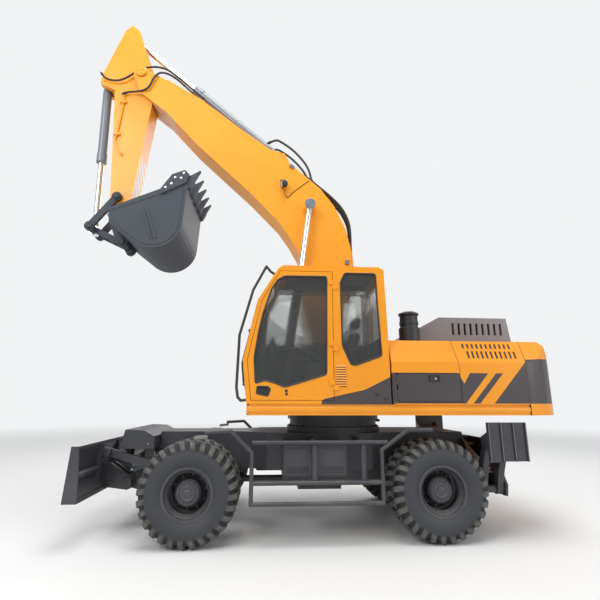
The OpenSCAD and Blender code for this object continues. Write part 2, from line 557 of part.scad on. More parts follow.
module pre_cleaner() color(black) at_mid() {
  translate([1266, -790, hood_z + seat]) rotate_extrude() polygon([[0, 0], [133, 0], [133, 205], [115, 215], [115, 355],
    [100, 358], [100, 370], [130, 375], [130, 398], [95, 414], [0, 417]]);
}
module cab_rails() color(black) at_mid() {
  y = -half_w + 60;
  tube([[-500.3, y, 3024.1], [-551.6, y, 3055.1], [-607, y, 3122], [-759, y, 2822], [-904, y, 2273], [-919, y, 1668], [-900, y, 1560],
    [-865, y, 1523.5], [-805.3, y, 1530]], 16);
  tube([[-670, 1100, 1900 + seat], [-670, 1100, 2500], [-200, 1100, 2700], [-30, 1100, 2700], [-30, 1100, 2180 + seat]], 17);
}

// Cab
cab_y0 = -half_w + 15;
cab_y1 = cab_y0 + cab_w;
cab_mid = (cab_y0 + cab_y1) / 2;
cab_side = [[-800, deck_top + seat], [863, deck_top + seat], [857, 2230], [837, roof_z - 40], [780, roof_z], [-400, roof_z],
  [-460, roof_z - 40], [-699, 2695], [-854, 1979]];
door_side = [[-748, deck_top + 45], [195, deck_top + 45], [195, roof_z - 75], [-435, roof_z - 75], [-648, 2682], [-800, 1979]];
door_window = [[-367, 1673], [114, 1819], [128, 2997], [-381, 2992], [-466, 2944], [-539, 2828], [-629, 2540], [-678, 2320],
  [-723, 2011], [-703, 1716], [-594, 1746], [-495, 1723]];
quarter_window = [[-690, 1600], [-560, 1570], [-530, 1650], [-560, 1680], [-680, 1680]];
rear_side_window = [[401, 1938], [462, 1926], [771, 2039], [742, 2673], [732, 3045], [351, 3045], [296, 2929], [306, 2157]];
screen_cut = [[-1000, 1640], [-720, 1640], [-790, 1990], [-640, 2665], [-430, 3030], [-1000, 3030]];
screen_w = cab_w - 160;
// Door hinges outside the cab: the door's barrels stand on the cab's.
cab_hinge = [200, cab_y0 - 7.5];
cab_hinge_z = [1700, 2150, 2900];
module cab_shell() color(yellow) at_mid() {
  cab_walls();
  for (z = cab_hinge_z) translate([0, 0, z - 60 - seat]) {
    translate(cab_hinge) cylinder(r = 6, h = 60);
    box([cab_hinge[0], cab_y0 - 13, 0], [260, cab_y0 + 1, 60]);
  }
}
module cab_walls() difference() {
  side(cab_w, cab_mid) polygon(cab_side);
  side(cab_w - 2 * cab_wall, cab_mid) polygon(inset(cab_side, cab_wall));
  side(cab_wall * 2, cab_y0) polygon(inset(door_side, -door_gap));
  side(cab_wall * 3, cab_y0) polygon(rear_side_window);
  side(screen_w, cab_mid) polygon(screen_cut);
  side(cab_wall * 3, cab_y1) polygon([[-640, 1980], [760, 2040], [740, 2980], [-440, 2980], [-590, 2680]]);
  box([700, cab_mid - 330, 2280], [1000, cab_mid + 330, 2980]);
  for (i = [0:8]) box([215 + 12 * i, cab_y0 - 10, 1700 + i % 2], [221 + 12 * i, cab_y0 + 20, 1900]);
}
pane = 16;
module cab_glass() color(glass) at_mid() {
  intersection() {
    side(screen_w - 2 * seat, cab_mid) polygon(inset(screen_cut, seat));
    side(screen_w, cab_mid) difference() {
      polygon(inset(cab_side, pane));
      polygon(inset(cab_side, pane + glass_t));
    }
  }
  side(glass_t, cab_y0 + pane) polygon(inset(rear_side_window, seat));
  side(glass_t, cab_y1 - pane) polygon(inset([[-640, 1980], [760, 2040], [740, 2980], [-440, 2980], [-590, 2680]], seat));
  box([834, cab_mid - 330 + seat, 2280 + seat], [834 + glass_t, cab_mid + 330 - seat, 2980 - seat]);
}
module cab_door() color(yellow) at_mid() {
  difference() {
    side(cab_wall, cab_y0 + cab_wall / 2) polygon(door_side);
    side(cab_wall * 3, cab_y0) polygon(door_window);
    side(cab_wall * 3, cab_y0) polygon(quarter_window);
  }
  for (z = cab_hinge_z) translate([0, 0, z]) {
    translate(cab_hinge) cylinder(r = 6, h = 60);
    box([140, cab_y0 - 13, 0], [cab_hinge[0], cab_y0 - 2, 60]);
    box([140, cab_y0 - 13, 0], [190, cab_y0 + 1, 60]);
  }
}
module door_glass() color(glass) at_mid() {
  side(glass_t, cab_y0 + pane) polygon(inset(door_window, seat));
  side(glass_t, cab_y0 + pane) polygon(inset(quarter_window, seat));
}
floor_z = deck_top + cab_wall + 2 * seat;
seat_x = 250;
module cab_fittings() color(black) at_mid() {
  box([-640, cab_y0 + 90, floor_z], [800, cab_y1 - 60, floor_z + 20]);
  box([seat_x - 180, cab_mid - 190, floor_z + 10], [seat_x + 230, cab_mid + 190, floor_z + 300]);
  for (s = [-1, 1]) {
    box([seat_x - 320, cab_mid + s * 290 - 65, floor_z + 10], [seat_x + 280, cab_mid + s * 290 + 65, floor_z + 430]);
    translate([seat_x - 230, cab_mid + s * 290, floor_z + 425]) {
      cylinder(r = 14, h = 170);
      translate([0, 0, 150]) cylinder(r = 24, h = 110);
    }
  }
  translate([-430, cab_mid, floor_z]) rotate([0, 18, 0]) {
    translate([0, 0, 16]) cylinder(r = 42, h = 624);
    translate([0, 0, 640]) rotate_extrude() translate([180, 0]) circle(r = 16);
    for (a = [30, 150, 270]) rotate([0, 0, a]) translate([0, -12, 628]) cube([180, 24, 20]);
  }
  box([-560, cab_y1 - 170, floor_z + 10], [-480, cab_y1 - 60, floor_z + 760]);
}
module seat_cushions() color([0.25, 0.25, 0.28]) at_mid() {
  box([seat_x - 260, cab_mid - 215, floor_z + 300 + seat], [seat_x + 230, cab_mid + 215, floor_z + 430]);
  translate([seat_x + 130, cab_mid, floor_z + 425]) rotate([0, 12, 0]) box([0, -205, 0], [120, 205, 640]);
}

// Arm

boom_tip = boom_foot + turn_pt([-boom_length, 0], boom_lift);
stick_lift = boom_lift + stick_turn;
bucket_pin = boom_tip + turn_pt([-stick_length, 0], stick_lift);
bucket_lift = stick_lift + bucket_turn;
// Points given in the frame of the boom, stick or bucket, moved to the machine's frame.
function on_boom(p) = boom_foot + turn_pt(p, boom_lift);
function on_stick(p) = boom_tip + turn_pt(p, stick_lift);
function on_bucket(p) = bucket_pin + turn_pt(p, bucket_lift);
module at_boom() at_mid() translate([boom_foot[0], arm_y, boom_foot[1]]) rotate([0, boom_lift, 0]) children();
module at_stick() at_boom() translate([-boom_length, 0, 0]) rotate([0, stick_turn, 0]) children();
module at_bucket() at_stick() translate([-stick_length, 0, 0]) rotate([0, bucket_turn, 0]) children();

// In the boom's frame the foot pin is the origin and the stick pin lies at -boom_length along X.
boom_side = [[60, -130], [90, 60], [-969, 1049], [-1209, 1196], [-1596, 1331], [-2000, 1390], [-2348, 1369], [-2946, 1200], [-3867, 848], [-4653, 578],
  [-boom_length + 330, 290], [-boom_length + 330, -190], [-4713, -13], [-3985, 111], [-2823, 400], [-2200, 520], [-1891, 530], [-1600, 510], [-1372, 440], [-900, 130], [-130, -130]];
boom_cyl_pin = [-2133, 1041];
arm_cyl_base = [-3162, 1187];
lamp_at = [-2660, 887];
module work_lamp() {
  translate([0, -85, 0]) rotate([0, -90 - boom_lift - 14, 0]) rotate_extrude() polygon([[0, -38], [26, -38], [42, -12], [42, 26],
    [34, 26], [34, 18], [0, 18]]);
  box([-14, -88, -14], [14, 10, 14]);
}
module boom() color(yellow) at_boom() {
  translate([lamp_at[0], -boom_w / 2, lamp_at[1]]) work_lamp();
  difference() {
    union() {
      side(boom_w) polygon(boom_side);
      bar_y([0, 0], 140, boom_w);
      for (s = [-1, 1]) side(60, s * (boom_w / 2 - 30)) polygon([[-boom_length + 340, 280], [-boom_length + 60, 130],
        [-boom_length - 90, 90], [-boom_length - 110, -60], [-boom_length - 20, -130], [-boom_length + 340, -185]]);
      for (s = [-1, 1]) side(30, s * 95) polygon([[-3560, 960], [-2860, 1215], [-3080, 1260], [-3200, 1270], [-3270, 1200]]);
      bar_y(boom_cyl_pin, 95, 2 * (boom_cyl_y - 55 - side_gap));
    }
    translate([-boom_length, 0, 0]) rotate([0, stick_turn, 0]) side(stick_w + 2 * side_gap)
      polygon([[-1500, -190], [-537, -236], [-170, -190], [90, -190], [200, 300], [-1500, 300]]);
    bar_y(arm_cyl_base, 90, 160);
    along(arm_cyl_base, [-6383, 257]) box([0, -90, -96], [700, 90, 200]);
  }
  bar_y([0, 0], 55, boom_w + 160);
  bar_y([-boom_length, 0], 50, boom_w + 30);
  bar_y(arm_cyl_base, 40, 250);
}
// The pipes lie on the boom's top plates.
pipe_line = inset(boom_side, -20.6 - seat);
module boom_pipes() color(silver) at_mid() for (s = [-1, 1])
  tube([for (i = [2:9]) let (p = on_boom(pipe_line[i])) [p[0], arm_y + s * 150, p[1]]], 20);

boom_cyl_top = on_boom(boom_cyl_pin);
module boom_barrels() color(silver) at_mid() for (s = [-1, 1])
  barrel(boom_cyl_foot, boom_cyl_top, boom_cyl_r, 72, 92, 1500, arm_y + s * boom_cyl_y, 40);
module boom_rods() color(chrome) at_mid() for (s = [-1, 1])
  rod(boom_cyl_foot, boom_cyl_top, 78, 110, 1700, arm_y + s * boom_cyl_y);

// In the stick's frame the boom pin is the origin and the bucket pin lies at -stick_length along X.
arm_cyl_eye = [818, 271];
bucket_cyl_base = [-149, 593];
guide_pin = [-2207, 72];
link_pin = [-2711, 396];
stick_side = [[960, 290], [860, 390], [-60, 640], [-230, 640], [-324, 400], [-2280, 181], [-stick_length - 60, 90], [-stick_length - 90, 0], [-stick_length, -90],
  [-2254, -122], [-537, -218], [-160, -150], [100, -140], [860, 160]];
arm_base_pt = on_boom(arm_cyl_base);
arm_eye_pt = on_stick(arm_cyl_eye);
bucket_base_pt = on_stick(bucket_cyl_base);
link_pt = on_stick(link_pin);
module stick() color(yellow) at_stick() {
  difference() {
    union() {
      side(stick_w) polygon(stick_side);
      bar_y([0, 0], 120, stick_w);
      bar_y([-stick_length, 0], 95, stick_w);
    }
    side(stick_w - 100) polygon([[330, 0], [1200, 0], [1200, 600], [560, 600], [330, 260]]);
    side(150) polygon([[-900, 430], [-330, 470], [-240, 505], [-60, 505], [-60, 1000], [-900, 1000]]);
    bar_y([0, 0], 50 + pin_fit, 800);
    bar_y([-stick_length, 0], 45 + pin_fit, 800);
  }
  bar_y(bucket_cyl_base, 36, stick_w + 20);
  bar_y(guide_pin, 32, stick_w + 150);
  for (s = [-1, 1]) bar_y(arm_cyl_eye, 58, 50, s * (stick_w / 2 - 25));
}
module arm_barrel() color(silver) at_mid() barrel(arm_base_pt, arm_eye_pt, arm_cyl_r, 80, 130, 1930, arm_y, 40);
module arm_rod() color(chrome) at_mid() rod(arm_base_pt, arm_eye_pt, 88, 130, 1800, arm_y);
module bucket_barrel() color(silver) at_mid() barrel(bucket_base_pt, link_pt, bucket_cyl_r, 74, 120, 1406, arm_y, 36);
module bucket_rod() color(chrome) at_mid() rod(bucket_base_pt, link_pt, 70, 110, 1500, arm_y);
// Round-ended bar, t thick, between two side-view points.
module link_bar(a, b, r, w, t, y) {
  d = (b - a) / norm(b - a);
  n = [-d[1], d[0]] * w / 2;
  bar_y(a, r, t, y);
  bar_y(b, r, t, y);
  side(t, y) polygon([a + d * r / 2 + n, a + d * r / 2 - n, b - d * r / 2 - n, b - d * r / 2 + n]);
}
guide_y = stick_w / 2 + 6 + 25;
module guide_links() color(dark) at_mid() translate([0, arm_y, 0]) {
  difference() {
    for (s = [-1, 1]) link_bar(on_stick(guide_pin), link_pt, 72, 96, 50, s * guide_y);
    bar_y(on_stick(guide_pin), 32 + pin_fit, 800);
  }
  for (s = [-1, 1]) bar_y(link_pt, 34, guide_y + 40 - 136, s * (guide_y + 40 + 136) / 2);
}
bucket_link_pin = [76, 294];
bucket_link_pt = on_bucket(bucket_link_pin);
module bucket_link() color(dark) at_mid() translate([0, arm_y, 0]) difference() {
  link_bar(bucket_link_pt, link_pt, 60, 80, 260, 0);
  bar_y(bucket_link_pt, 34 + pin_fit, 800);
  along(bucket_link_pt, link_pt) {
    box([-200, -70, -200], [200, 70, 200]);
    box([250, -70, -200], [800, 70, 200]);
  }
}

// In the bucket's frame its pin is the origin and the lip lies towards -X.
belly_c = [-480, 420];
belly_r = 411;
lip = [-1158, 172];
function bucket_outline(d) = inset(concat([[-36 , -50], [57, 150]], arc(belly_c, belly_r, 24.1, 144.8, 12), [lip, [-1163, 90]]), d);
bucket_ear = [[-60, -80], [50, -80], [95, -30], [150, 260], [150, 330], [110, 372], [50, 372], [-160, 200], [-160, 100]];
// Bolts of the side cutters, and the raised bands on the bucket's flanks.
cutter_bolts = [[-1190, 10], [-1120, 60], [-1050, 10], [-960, 70], [-860, 80]];
wear_bands = [[[-500, 238], [-470, 214], [-362, 668], [-398, 688]], [[-455, 205], [-430, 186], [-322, 640], [-350, 662]]];
module bucket() color(dark) at_bucket() {
  difference() {
    union() {
      side(bucket_w) polygon(bucket_outline(0));
      for (s = [-1, 1]) side(50, s * (stick_w / 2 + 32)) polygon(bucket_ear);
      for (s = [-1, 1]) side(30, s * (bucket_w / 2 + 15)) polygon([[-1250, 60], [-1230, -30], [-1040, -60], [-790, 60], [-760, 130], [-1150, 150]]);
      for (s = [-1, 1]) for (band = wear_bands) side(10, s * (bucket_w / 2 + 4)) polygon(band);
    }
    for (s = [-1, 1]) for (p = cutter_bolts) bar_y(p, 15, 20, s * (bucket_w / 2 + 30));
    difference() {
      side(bucket_w - 50) polygon(concat([[-1400, -400], [100, -400], [40, -60]], [for (i = [2:14]) bucket_outline(22)[i]], [[-1140, 165], [-1400, 200]]));
      for (s = [-1, 1]) side(50, s * (stick_w / 2 + 32)) polygon(bucket_ear);
    }
    side(stick_w + 14) polygon([[-200, -300], [400, -300], [400, 165], [60, 165], [-60, 155], [-200, 115]]);
  }
  bar_y([0, 0], 45, stick_w + 150);
  bar_y(bucket_link_pin, 34, stick_w + 140);
  tooth_pitch = (bucket_w - 100) / (tooth_count - 1);
  for (i = [0:tooth_count - 1]) side(62, -bucket_w / 2 + 50 + i * tooth_pitch) polygon([[-1060, 190], [-1170, 220], [-1425, 60], [-1160, 60], [-1060, 130]]);
  for (i = [0:tooth_count - 1]) side(84, -bucket_w / 2 + 50 + i * tooth_pitch) polygon([[-1050, 198], [-1165, 230], [-1268, 168],
    [-1256, 62], [-1160, 50], [-1050, 124]]);
}

chassis_frame();
front_cover();
front_axle();
rear_axle();
driveline();
slew_ring();
side_boxes();
side_steps();
knuckle_left();
knuckle_right();
rims_front_left();
rims_front_right();
rims_rear_left();
rims_rear_right();
tyres_front_left();
tyres_front_right();
tyres_rear_left();
tyres_rear_right();
blade();
blade_arms();
blade_links();
blade_barrel();
blade_rod();
leg_left();
leg_right();
pad_left();
pad_right();
leg_barrel_left();
leg_barrel_right();
leg_rod_left();
leg_rod_right();
deck();
counterweight();
engine();
hood();
engine_cover();
service_door_left();
service_door_right();
right_tanks();
pre_cleaner();
cab_rails();
cab_shell();
cab_glass();
cab_fittings();
seat_cushions();
cab_door();
door_glass();
boom();
boom_pipes();
boom_barrels();
boom_rods();
arm_barrel();
arm_rod();
stick();
bucket_barrel();
bucket_rod();
guide_links();
bucket_link();
bucket();
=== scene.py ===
# %% [markdown]
# # A wheeled excavator, dressed in Blender
# The rigid machine comes from the CAD frame. This lesson gives each of its pieces a finish that looks like
# the real one: baked enamel with road dust, chromed rods, moulded rubber and tinted safety glass. Then it
# adds the small things that CAD leaves out: wheel bolts, tread blocks, hoses, lamps, latches and stripes.

# %% Load the frame
import json
import math

import bmesh
import bpy
import numpy as np
from mathutils import Matrix, Vector


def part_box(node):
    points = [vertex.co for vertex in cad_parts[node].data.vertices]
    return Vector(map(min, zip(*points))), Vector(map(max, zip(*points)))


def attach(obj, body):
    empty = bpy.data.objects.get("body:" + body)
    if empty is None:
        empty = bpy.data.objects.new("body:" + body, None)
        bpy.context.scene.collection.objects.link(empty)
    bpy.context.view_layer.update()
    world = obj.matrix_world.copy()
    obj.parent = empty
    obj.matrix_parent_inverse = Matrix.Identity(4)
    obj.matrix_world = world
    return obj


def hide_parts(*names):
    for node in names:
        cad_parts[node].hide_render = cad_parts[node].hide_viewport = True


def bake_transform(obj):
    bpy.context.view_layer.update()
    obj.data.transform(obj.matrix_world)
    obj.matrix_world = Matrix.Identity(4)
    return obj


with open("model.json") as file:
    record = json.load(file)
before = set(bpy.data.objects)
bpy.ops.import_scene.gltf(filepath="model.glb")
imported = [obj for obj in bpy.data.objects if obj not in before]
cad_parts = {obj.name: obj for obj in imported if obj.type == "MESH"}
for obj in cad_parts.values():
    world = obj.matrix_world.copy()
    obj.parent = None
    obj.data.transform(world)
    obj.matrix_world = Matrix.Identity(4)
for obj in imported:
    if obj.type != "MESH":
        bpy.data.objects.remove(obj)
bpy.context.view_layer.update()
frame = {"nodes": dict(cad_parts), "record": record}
NODES = frame["nodes"]

# %% [markdown]
# ## Where things are
# The drawings of the machine measure along its length from the middle of the wheelbase. The frame's origin
# is the middle of the whole box, a little further forward, so one number moves a drawing's x into the frame.

# %% Landmarks, in metres
MIDDLE_X = 0.18988
AXLE_X = (-1.4 + MIDDLE_X, 1.4 + MIDDLE_X)
AXLE_Z = 0.545
TWIN_OUT, TWIN_IN = 1.114, 0.774
HALF_W = 1.25
ARM_Y = 0.08


def at(x, y, z):
    """A drawing's point (x from the wheelbase middle) as a point of the frame: only x moves, by a constant."""
    return (x + MIDDLE_X, y, z)


def at_side(outline, y):
    """Side-view points (x, z) of a drawing, all at the same y, as points of the frame."""
    return [at(x, y, z) for x, z in outline]


def rectangle(a0, a1, b0, b1):
    """The four corners (a, b) of a rectangle, in order."""
    return [(a0, b0), (a0, b1), (a1, b1), (a1, b0)]


def put(name, data):
    """A new object that holds data, linked to the scene."""
    obj = bpy.data.objects.new(name, data)
    bpy.context.scene.collection.objects.link(obj)
    return obj


BOOM_FOOT, BOOM_LIFT, BOOM_LENGTH = (0.3, 2.05), 57.1, 5.561
STICK_TURN, STICK_LENGTH, BUCKET_TURN = -144.3, 2.633, -124.6
SIDES = (("left", -1), ("right", 1))


def mm(*pairs):
    """Pairs of numbers given in millimetres, in metres: a profile's (radius, along) or an outline's (x, z)."""
    return [(a / 1000, b / 1000) for a, b in pairs]


def turned(p, degrees):
    """Side-view points (x, z), numbers or arrays, turned nose-up: x' = x cos a + z sin a, z' = z cos a - x sin a."""
    a = math.radians(degrees)
    return (p[0] * math.cos(a) + p[1] * math.sin(a), p[1] * math.cos(a) - p[0] * math.sin(a))


def on_boom(x, z):
    """A point of the boom's own drawing, whose origin is its foot pin: turn by the boom's lift, then shift."""
    u = turned((x, z), BOOM_LIFT)
    return (BOOM_FOOT[0] + u[0] + MIDDLE_X, BOOM_FOOT[1] + u[1])


def on_stick(x, z):
    """A point of the stick's drawing: turn by the stick's own turn, shift to the boom's tip, then as on_boom."""
    u = turned((x, z), STICK_TURN)
    return on_boom(u[0] - BOOM_LENGTH, u[1])


def on_bucket(x, z):
    """A point of the bucket's drawing: turn by the bucket's turn, shift to the stick's tip, then as on_stick."""
    u = turned((x, z), BUCKET_TURN)
    return on_stick(u[0] - STICK_LENGTH, u[1])


print(
    "boom tip", [round(v, 3) for v in on_boom(-BOOM_LENGTH, 0)], "bucket pin",
    [round(v, 3) for v in on_stick(-STICK_LENGTH, 0)])

# %% [markdown]
# ## Camera
# The picture is taken from close by with a short lens, from eye height, looking slightly up. A pinhole
# camera needs a place, a direction (turn to the right, tilt up, a slight roll) and a focal length: 420 pixels
# in a picture 600 pixels wide is 25.2 mm on a 36 mm sensor.

# %% Camera
EYE = at(-0.53, -6.12, 1.53)
YAW, PITCH, ROLL = 3.9, 13.4, 0.15
FOCAL_PIXELS, PICTURE, SENSOR = 420.0, 600.0, 36.0


def add_camera():
    """Forward = (sin yaw cos pitch, cos yaw cos pitch, sin pitch), right = (cos yaw, -sin yaw, 0), up = right x
    forward."""
    yaw, pitch, roll = (math.radians(v) for v in (YAW, PITCH, ROLL))
    forward = np.array([math.sin(yaw) * math.cos(pitch), math.cos(yaw) * math.cos(pitch), math.sin(pitch)])
    right = np.array([math.cos(yaw), -math.sin(yaw), 0.0])
    up = np.cross(right, forward)
    right, up = right * math.cos(roll) + up * math.sin(roll), -right * math.sin(roll) + up * math.cos(roll)
    camera = put("camera", bpy.data.cameras.new("camera"))
    camera.data.lens = SENSOR * FOCAL_PIXELS / PICTURE
    camera.data.sensor_width = SENSOR
    camera.data.clip_end = 200
    m = np.eye(4)
    m[:3, :3] = np.stack([right, up, -forward], axis=1)
    m[:3, 3] = EYE
    camera.matrix_world = Matrix(m.tolist())
    bpy.context.scene.camera = camera
    return camera


camera = add_camera()
print("camera lens", round(camera.data.lens, 2), "mm")

# %% [markdown]
# ## Floor and light
# A studio for a big machine: a pale floor that runs out of sight, a pale surrounding that only the camera
# and mirrors see at full strength, and large soft lamps on both sides, so that no side is black.

# %% Stage
SKY_STRENGTH, LAMPS = 0.62, [
    ("key", (-7.5, -9.0, 9.5), 6.0, 720.0),
    ("fill", (9.0, -7.0, 5.0), 6.0, 260.0),
    ("back", (2.0, 10.0, 8.0), 7.0, 420.0),
    ("top", (0.5, -3.0, 14.5), 9.0, 1100.0),
]
FLOOR_COLOUR, SURROUND = (0.74, 0.74, 0.73, 1), (0.88, 0.89, 0.9, 1)


def set_sockets(tree, node, values):
    """Sets a node's inputs, by name or number: a socket is linked, anything else becomes the input's value."""
    for key, v in values:
        if isinstance(v, bpy.types.NodeSocket):
            tree.links.new(v, node.inputs[key])
        else:
            node.inputs[key].default_value = v


def add_node(tree, kind, values=(), output=0, **settings):
    """A new shader node with its settings and inputs. Returns one of its outputs."""
    node = tree.nodes.new("ShaderNode" + kind)
    for key, v in settings.items():
        setattr(node, key, v)
    set_sockets(tree, node, values)
    return node.outputs[output]


def coords(tree, output="Object"):
    """Where a point is, in metres in the frame (Object), or which way its face looks (Normal)."""
    return add_node(tree, "TexCoord", output=output)


def new_material(name, values):
    """A material whose shader has the given inputs. Returns it with its node tree and shader."""
    material = bpy.data.materials.new(name)
    material.use_nodes = True
    shader = material.node_tree.nodes["Principled BSDF"]
    set_sockets(material.node_tree, shader, values)
    return material, material.node_tree, shader


def floor_material():
    """Plain pale ground that turns into the surrounding's colour 8 m to 26 m away, so no horizon line shows."""
    material, tree, shader = new_material("studio_floor", (("Base Color", FLOOR_COLOUR), ("Roughness", 0.95)))
    far = add_node(tree, "VectorMath", [(0, coords(tree))], "Value", operation="LENGTH")
    reach = add_node(
        tree, "MapRange", (("Value", far), ("From Min", 8.0), ("From Max", 26.0)), interpolation_type="SMOOTHSTEP")
    glow = add_node(tree, "Emission", [("Color", SURROUND)])
    mix = add_node(tree, "MixShader", enumerate((reach, shader.outputs[0], glow)))
    tree.links.new(mix, tree.nodes["Material Output"].inputs["Surface"])
    return material


def add_floor():
    """A square of one face, 120 m wide, 1 mm under the tyres."""
    mesh = bpy.data.meshes.new("studio_floor")
    r, z = 60.0, -0.001
    mesh.from_pydata([(-r, -r, z), (r, -r, z), (r, r, z), (-r, r, z)], [], [(0, 1, 2, 3)])
    mesh.materials.append(floor_material())
    put("studio_floor", mesh)


def add_lamps():
    """Area lamps aimed at the machine's middle; power in watts, size in metres."""
    for name, place, size, power in LAMPS:
        lamp = bpy.data.lights.new(name, "AREA")
        lamp.shape, lamp.size, lamp.energy = "DISK", size, power
        o = put(name, lamp)
        o.location = place
        o.rotation_euler = (Vector((0, 0, 2.0)) - Vector(place)).to_track_quat("-Z", "Y").to_euler()


def set_world():
    """The world lights at SKY_STRENGTH, and shows as plain pale grey to the camera, mirrors and glass."""
    world = bpy.data.worlds.new("studio")
    bpy.context.scene.world = world
    world.use_nodes = True
    tree = world.node_tree
    tree.nodes.clear()
    lit = add_node(tree, "Background", (("Color", (0.96, 0.98, 1.0, 1)), ("Strength", SKY_STRENGTH)))
    seen = add_node(tree, "Background", [("Color", SURROUND)])
    mix = add_node(tree, "MixShader", enumerate((add_node(tree, "LightPath", output="Is Camera Ray"), lit, seen)))
    tree.links.new(mix, tree.nodes.new("ShaderNodeOutputWorld").inputs["Surface"])


add_floor()
add_lamps()
set_world()
bpy.context.scene.view_settings.view_transform = "Standard"
print("lamps:", len(LAMPS))

# %% [markdown]
# ## Shared effects
# Three effects turn up in nearly every finish, so each is a node group that is built once. *Dust* lies on
# what faces up and near the ground. *Scuffs* are small worn spots and streaks. *Grain* is a fine bump that
# breaks up a perfect gloss. All of them read Object coordinates, which here are metres in the frame.

# %% Node group helpers
def new_group(name, out, **ins):
    """An empty shader node group with float inputs (name = default). Returns its tree, inputs and single output."""
    tree = bpy.data.node_groups.new(name, "ShaderNodeTree")
    for label, default in ins.items():
        tree.interface.new_socket(name=label, in_out="INPUT", socket_type="NodeSocketFloat").default_value = default
    tree.interface.new_socket(name=out, in_out="OUTPUT", socket_type="NodeSocketFloat")
    return tree, tree.nodes.new("NodeGroupInput").outputs, tree.nodes.new("NodeGroupOutput").inputs[out]


def math_node(tree, operation, *values, clamp=False):
    """One Math node; values are numbers or output sockets. Returns its output."""
    return add_node(tree, "Math", enumerate(values), operation=operation, use_clamp=clamp)


def times(tree, *values, clamp=False):
    """The product of all values, from left to right; clamp holds the last step to 0..1."""
    result = values[0]
    for i, v in enumerate(values[1:], 2):
        result = math_node(tree, "MULTIPLY", result, v, clamp=clamp and i == len(values))
    return result


def plus(tree, a, b):
    """The sum of two values."""
    return math_node(tree, "ADD", a, b)


def xyz(tree, vector):
    """The three numbers of a vector."""
    return add_node(tree, "SeparateXYZ", [(0, vector)]).node.outputs


def noise(tree, vector, scale, detail, rough=0.55):
    """A Noise texture's factor at a scale in waves per metre."""
    return add_node(
        tree, "TexNoise", (("Vector", vector), ("Scale", scale), ("Detail", detail), ("Roughness", rough)), "Fac")


def ramp(tree, value, low, high):
    """Maps value from low..high to 0..1, held at both ends."""
    return add_node(tree, "MapRange", (("Value", value), ("From Min", low), ("From Max", high)), "Result")


def mix_colour(tree, factor, a, b):
    """Mixes colours a and b (tuples or sockets) by factor."""
    a, b = ((*v, 1) if isinstance(v, tuple) else v for v in (a, b))
    return add_node(tree, "Mix", ((0, factor), (6, a), (7, b)), 2, data_type="RGBA")


# %% Dust, scuffs and grain
def build_dust():
    """Dust mask = (how much the face looks up + how near the ground) times patchy noise, times Amount."""
    tree, start, end = new_group("road_dust", "Mask", Amount=0.5, Reach=1.2)
    place = coords(tree)
    up = ramp(tree, xyz(tree, coords(tree, "Normal"))[2], 0.15, 0.95)
    height = math_node(tree, "DIVIDE", xyz(tree, place)[2], start["Reach"])
    low = math_node(tree, "SUBTRACT", 1.0, height, clamp=True)
    patches = ramp(tree, noise(tree, place, 2.3, 5.0, 0.6), 0.35, 0.72)
    fine = ramp(tree, noise(tree, place, 38.0, 3.0, 0.7), 0.3, 0.75)
    amount = plus(tree, times(tree, up, 0.55), times(tree, low, 0.65))
    broken = plus(tree, times(tree, patches, 0.6), times(tree, fine, 0.4))
    tree.links.new(times(tree, amount, broken, start["Amount"], clamp=True), end)
    return tree


def build_scuffs():
    """Scuff mask: thin peaks of a fine noise, kept only where a large noise is high, times Amount."""
    tree, start, end = new_group("scuffs", "Mask", Amount=0.4, Size=30.0)
    place = coords(tree)
    fine = ramp(tree, noise(tree, place, start["Size"], 6.0, 0.7), 0.6, 0.68)
    where = ramp(tree, noise(tree, place, 1.7, 2.0), 0.5, 0.66)
    tree.links.new(times(tree, fine, where, start["Amount"], clamp=True), end)
    return tree


def build_grain():
    """Grain = one fine and one broad noise, mixed; its height feeds a Bump node in the material."""
    tree, start, end = new_group("grain", "Height", Scale=160.0)
    place = coords(tree)
    fine = noise(tree, place, start["Scale"], 2.0)
    broad = noise(tree, place, 6.0, 3.0)
    tree.links.new(plus(tree, times(tree, fine, 0.4), times(tree, broad, 0.6)), end)
    return tree


DUST, SCUFFS, GRAIN = build_dust(), build_scuffs(), build_grain()
print("node groups:", [t.name for t in (DUST, SCUFFS, GRAIN)])

# %% [markdown]
# ## Finishes
# One recipe serves all painted and moulded surfaces: a base colour that drifts a little, scuffs in a second
# colour, dust in a third, and roughness that rises with both. The table lists each finish with its numbers.

# %% The finish recipe
ROAD_DUST = (0.42, 0.4, 0.37)


def group_node(tree, group, **values):
    """A node that places a shared group, with its values set on its sockets. Returns the group's only output."""
    return add_node(tree, "Group", values.items(), node_tree=group)


